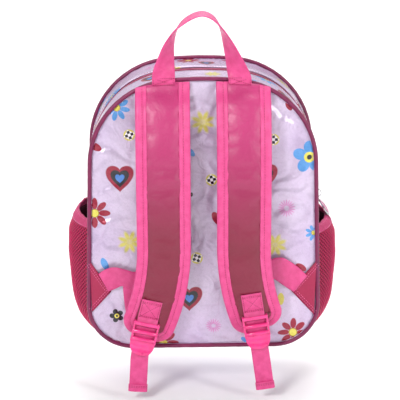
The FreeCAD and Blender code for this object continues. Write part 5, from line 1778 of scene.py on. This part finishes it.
def make_pocket(label, side):
    """Knitted net over its backing, gathered by a ribbed elastic band at the mouth; the backing's dark colour
    is painted shade.
    """
    tall = POCKET_HEIGHTS[label]
    net_top = tall - BAND_HEIGHT + 2
    pitch, across = 4.6, 23
    rows = int((net_top - 4) / (pitch / 2))
    points, index = [], {}
    for row in range(rows + 1):
        for column in range(2 * across + 1):
            if (row + column) % 2 == 0:
                index[row, column] = len(points)
                height = 4 + (net_top - 4) * row / rows
                turn = math.radians(50) * (column / across - 1)
                share = 0.5 + 0.495 * math.sin(turn) / math.sin(math.radians(50))
                points.append(pocket_point(label, side, share, height))
    edges = []
    for row, column in index:
        for step in (-1, 1):
            if (row + 1, column + step) in index:
                edges.append((index[row, column], index[row + 1, column + step]))
    net = grow(f"pocket_net_{label}", points, edges, NET_TREE, Yarn=0.55 * MM, Seed=7, Material=NET_YARN)
    finish_piece(net, "bag", "pocket_mesh")
    heights = np.linspace(3, net_top, 36)
    shares = np.linspace(0, 1, 31)
    spots = [pocket_point(label, side, share, height, 1.6) for height in heights for share in shares]
    backing = mesh_object(f"pocket_backing_{label}", spots, grid_faces(len(heights), len(shares)),
                          NET_BACKING_SHADED)
    face_towards(backing, Vector((side, 0, 0)))
    thicken(backing, 0.6, -1.0)
    finish_piece(backing, "bag", "pocket_mesh", f"pocket_mesh_{label}")
    columns = 181
    heights = np.linspace(tall - BAND_HEIGHT, tall, 9)
    spots, runs = [], []
    for row, height in enumerate(heights):
        level = row / (len(heights) - 1)
        for column in range(columns):
            share = column / (columns - 1)
            x, y, z = pocket_point(label, side, share, height, 0.01)
            rib = 0.32 * math.cos(share * 2 * math.pi * 44) * math.sin(math.pi * level) ** 0.5
            roll = 0.7 * math.sin(math.pi * level) ** 0.6
            spots.append((x + side * (0.5 + rib + roll), y, z + 0.5 * math.sin(share * 40) * level))
            runs.append((level * BAND_HEIGHT, share * 150, 0))
    band = mesh_object(f"pocket_elastic_{label}", spots, grid_faces(len(heights), columns), ELASTIC)
    set_vectors(band.data, "run", runs)
    face_towards(band, Vector((side, 0, 0)))
    thicken(band, 1.8, -1.0)
    finish_piece(band, "bag", "elastic_band", f"pocket_band_{label}")
    lines = []
    for height, push in ((tall - 2.2, 1.0), (tall - BAND_HEIGHT + 1.6, 1.1)):
        lines.append([(x + side * push, y, z) for x, y, z in
                      (pocket_point(label, side, share, height, 0.01) for share in np.linspace(0.02, 0.98,
                                                                                               60))])
    finish_piece(sew(f"pocket_stitches_{label}", lines, THREAD, 2.8, 2.0, 0.5), "bag", "elastic_band")


# ---------------------------------------------------------------- inside, slider and charm

def dress_frame_nodes():
    """Materials of the nodes that stay as they come from the frame."""
    for node in ("back_lining", "gusset_lining"):
        paint(node, LINING_CLOTH)
    paint("base_board", BOARD_PLASTIC)
    for node in ("slider_body", "pull_tab", "split_ring", "charm_back"):
        paint(node, BRIGHT_METAL)


def make_charm_face():
    """Domed enamel face on the charm's disc."""
    low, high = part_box("charm_face")
    joint = Vector(to_bag(JOINTS["charm_swing"]["pos_m"]))
    centre = Vector(to_bag((low + high) / 2))
    hang = centre - joint
    hang.y = 0
    down = hang.normalized()
    out = Vector((down.z * -1, 0, down.x))
    if out.x < 0:
        out = -out
    radius, cap = 10.3, 1.8
    rings, steps = 9, 40
    middle = joint + down * (11.5 + 2.8) + out * 0.65
    points, faces, places = [tuple(middle + out * cap)], [], [(0, 0, 0)]
    for ring in range(1, rings + 1):
        share = ring / rings
        for step in range(steps):
            angle = 2 * math.pi * step / steps
            rise = cap * (1 - share ** 2) - (0.5 if ring == rings else 0)
            reach = radius * share
            spot = (middle + out * rise + Vector((0, 1, 0)) * reach * math.cos(angle)
                    + down * -reach * math.sin(angle))
            points.append(tuple(spot))
            places.append((reach * math.cos(angle), reach * math.sin(angle), 0))
    for step in range(steps):
        after = (step + 1) % steps
        faces.append((0, 1 + step, 1 + after))
        for ring in range(rings - 1):
            a, b = 1 + ring * steps, 1 + (ring + 1) * steps
            faces.append((a + step, b + step, b + after, a + after))
    faces.append(tuple(range(1 + (rings - 1) * steps, 1 + rings * steps)))
    piece = mesh_object("charm_enamel_face", points, faces, CHARM_ENAMEL)
    set_vectors(piece.data, "face", places)
    outward(piece)
    finish_piece(piece, "charm", "charm_enamel", "charm_face")


# ---------------------------------------------------------------- stage

def build_stage():
    """Floor, background and four soft lights."""
    size = 12.0
    floor_height = CAD_BOX[0].z - 0.006
    mesh = bpy.data.meshes.new("studio_floor")
    mesh.from_pydata([(-size, -size, floor_height), (size, -size, floor_height), (size, size, floor_height),
                      (-size, size, floor_height)], [], [(0, 1, 2, 3)])
    finish, tree, surface = new_finish("studio_paper")
    grain = put(tree, "ShaderNodeTexNoise", {"Vector": millimetres(tree), "Scale": 0.01, "Detail": 3.0})
    drive(tree, surface, Base_Color=vary(tree, grain.outputs[0], ink(246, 246, 247), ink(252, 252, 252)),
          Roughness=0.9)
    mesh.materials.append(finish)
    floor = bpy.data.objects.new("studio_floor", mesh)
    bpy.context.scene.collection.objects.link(floor)

    world = bpy.data.worlds.new("studio")
    world.use_nodes = True
    tree = world.node_tree
    back = tree.nodes["Background"]
    back.inputs[0].default_value = (1, 1, 1, 1)
    seen = put(tree, "ShaderNodeLightPath").outputs["Is Camera Ray"]
    tree.links.new(vary_value(tree, seen, 0.46, 1.0), back.inputs[1])
    bpy.context.scene.world = world
    bpy.context.scene.view_settings.view_transform = "Standard"

    def light(name, place_at, aim, width, power):
        data = bpy.data.lights.new(name, "AREA")
        data.shape = "RECTANGLE"
        data.size, data.size_y = width
        data.energy = power
        lamp = bpy.data.objects.new(name, data)
        lamp.location = place_at
        lamp.rotation_mode = "QUATERNION"
        lamp.rotation_quaternion = (Vector(aim) - Vector(place_at)).to_track_quat("-Z", "Y")
        bpy.context.scene.collection.objects.link(lamp)

    light("key_softbox", (-0.8, -1.3, 0.8), (0, 0, -0.2), (0.45, 0.45), 19)
    light("side_softbox", (1.2, -1.0, 0.25), (0, 0.05, -0.2), (0.3, 0.8), 10)
    light("top_softbox", (0.1, 0.3, 1.1), (0, 0.05, -0.1), (0.8, 0.5), 8)
    light("floor_wash", (0, 2.6, 2.6), (0, 3.0, -0.43), (5.0, 3.0), 150)


def build_camera():
    """Camera fitted to the view from the strap side."""
    distance, elevation, azimuth, roll = 1.797, math.radians(16.75), math.radians(-1.33), math.radians(-0.2)
    aim = at(0, 50, 154)
    back = Vector((math.sin(azimuth) * math.cos(elevation), -math.cos(azimuth) * math.cos(elevation),
                   math.sin(elevation)))
    data = bpy.data.cameras.new("camera")
    data.sensor_width = 36
    data.lens = 141.35
    data.shift_x, data.shift_y = -0.0054, 0.00565
    data.clip_start, data.clip_end = 0.05, 50
    camera = bpy.data.objects.new("camera", data)
    camera.location = aim + back * distance
    camera.rotation_mode = "QUATERNION"
    turn = (-back).to_track_quat("-Z", "Y")
    camera.rotation_quaternion = turn @ Matrix.Rotation(roll, 4, "Z").to_quaternion()
    bpy.context.scene.collection.objects.link(camera)
    bpy.context.scene.camera = camera


# ---------------------------------------------------------------- build

def build():
    make_back_panel()
    make_gusset()
    make_front()
    make_front_lining()
    make_piping()
    make_zip()
    make_carry_loop()
    for label, side in SIDES:
        make_side_tab(label, side)
        make_anchor(label, side)
        make_strap_pad(label, side)
        make_binding(label, side)
        make_keeper(label)
        make_adjuster(label)
        make_tail(label)
        make_pocket(label, side)
    dress_frame_nodes()
    make_charm_face()
    build_stage()
    build_camera()


build()
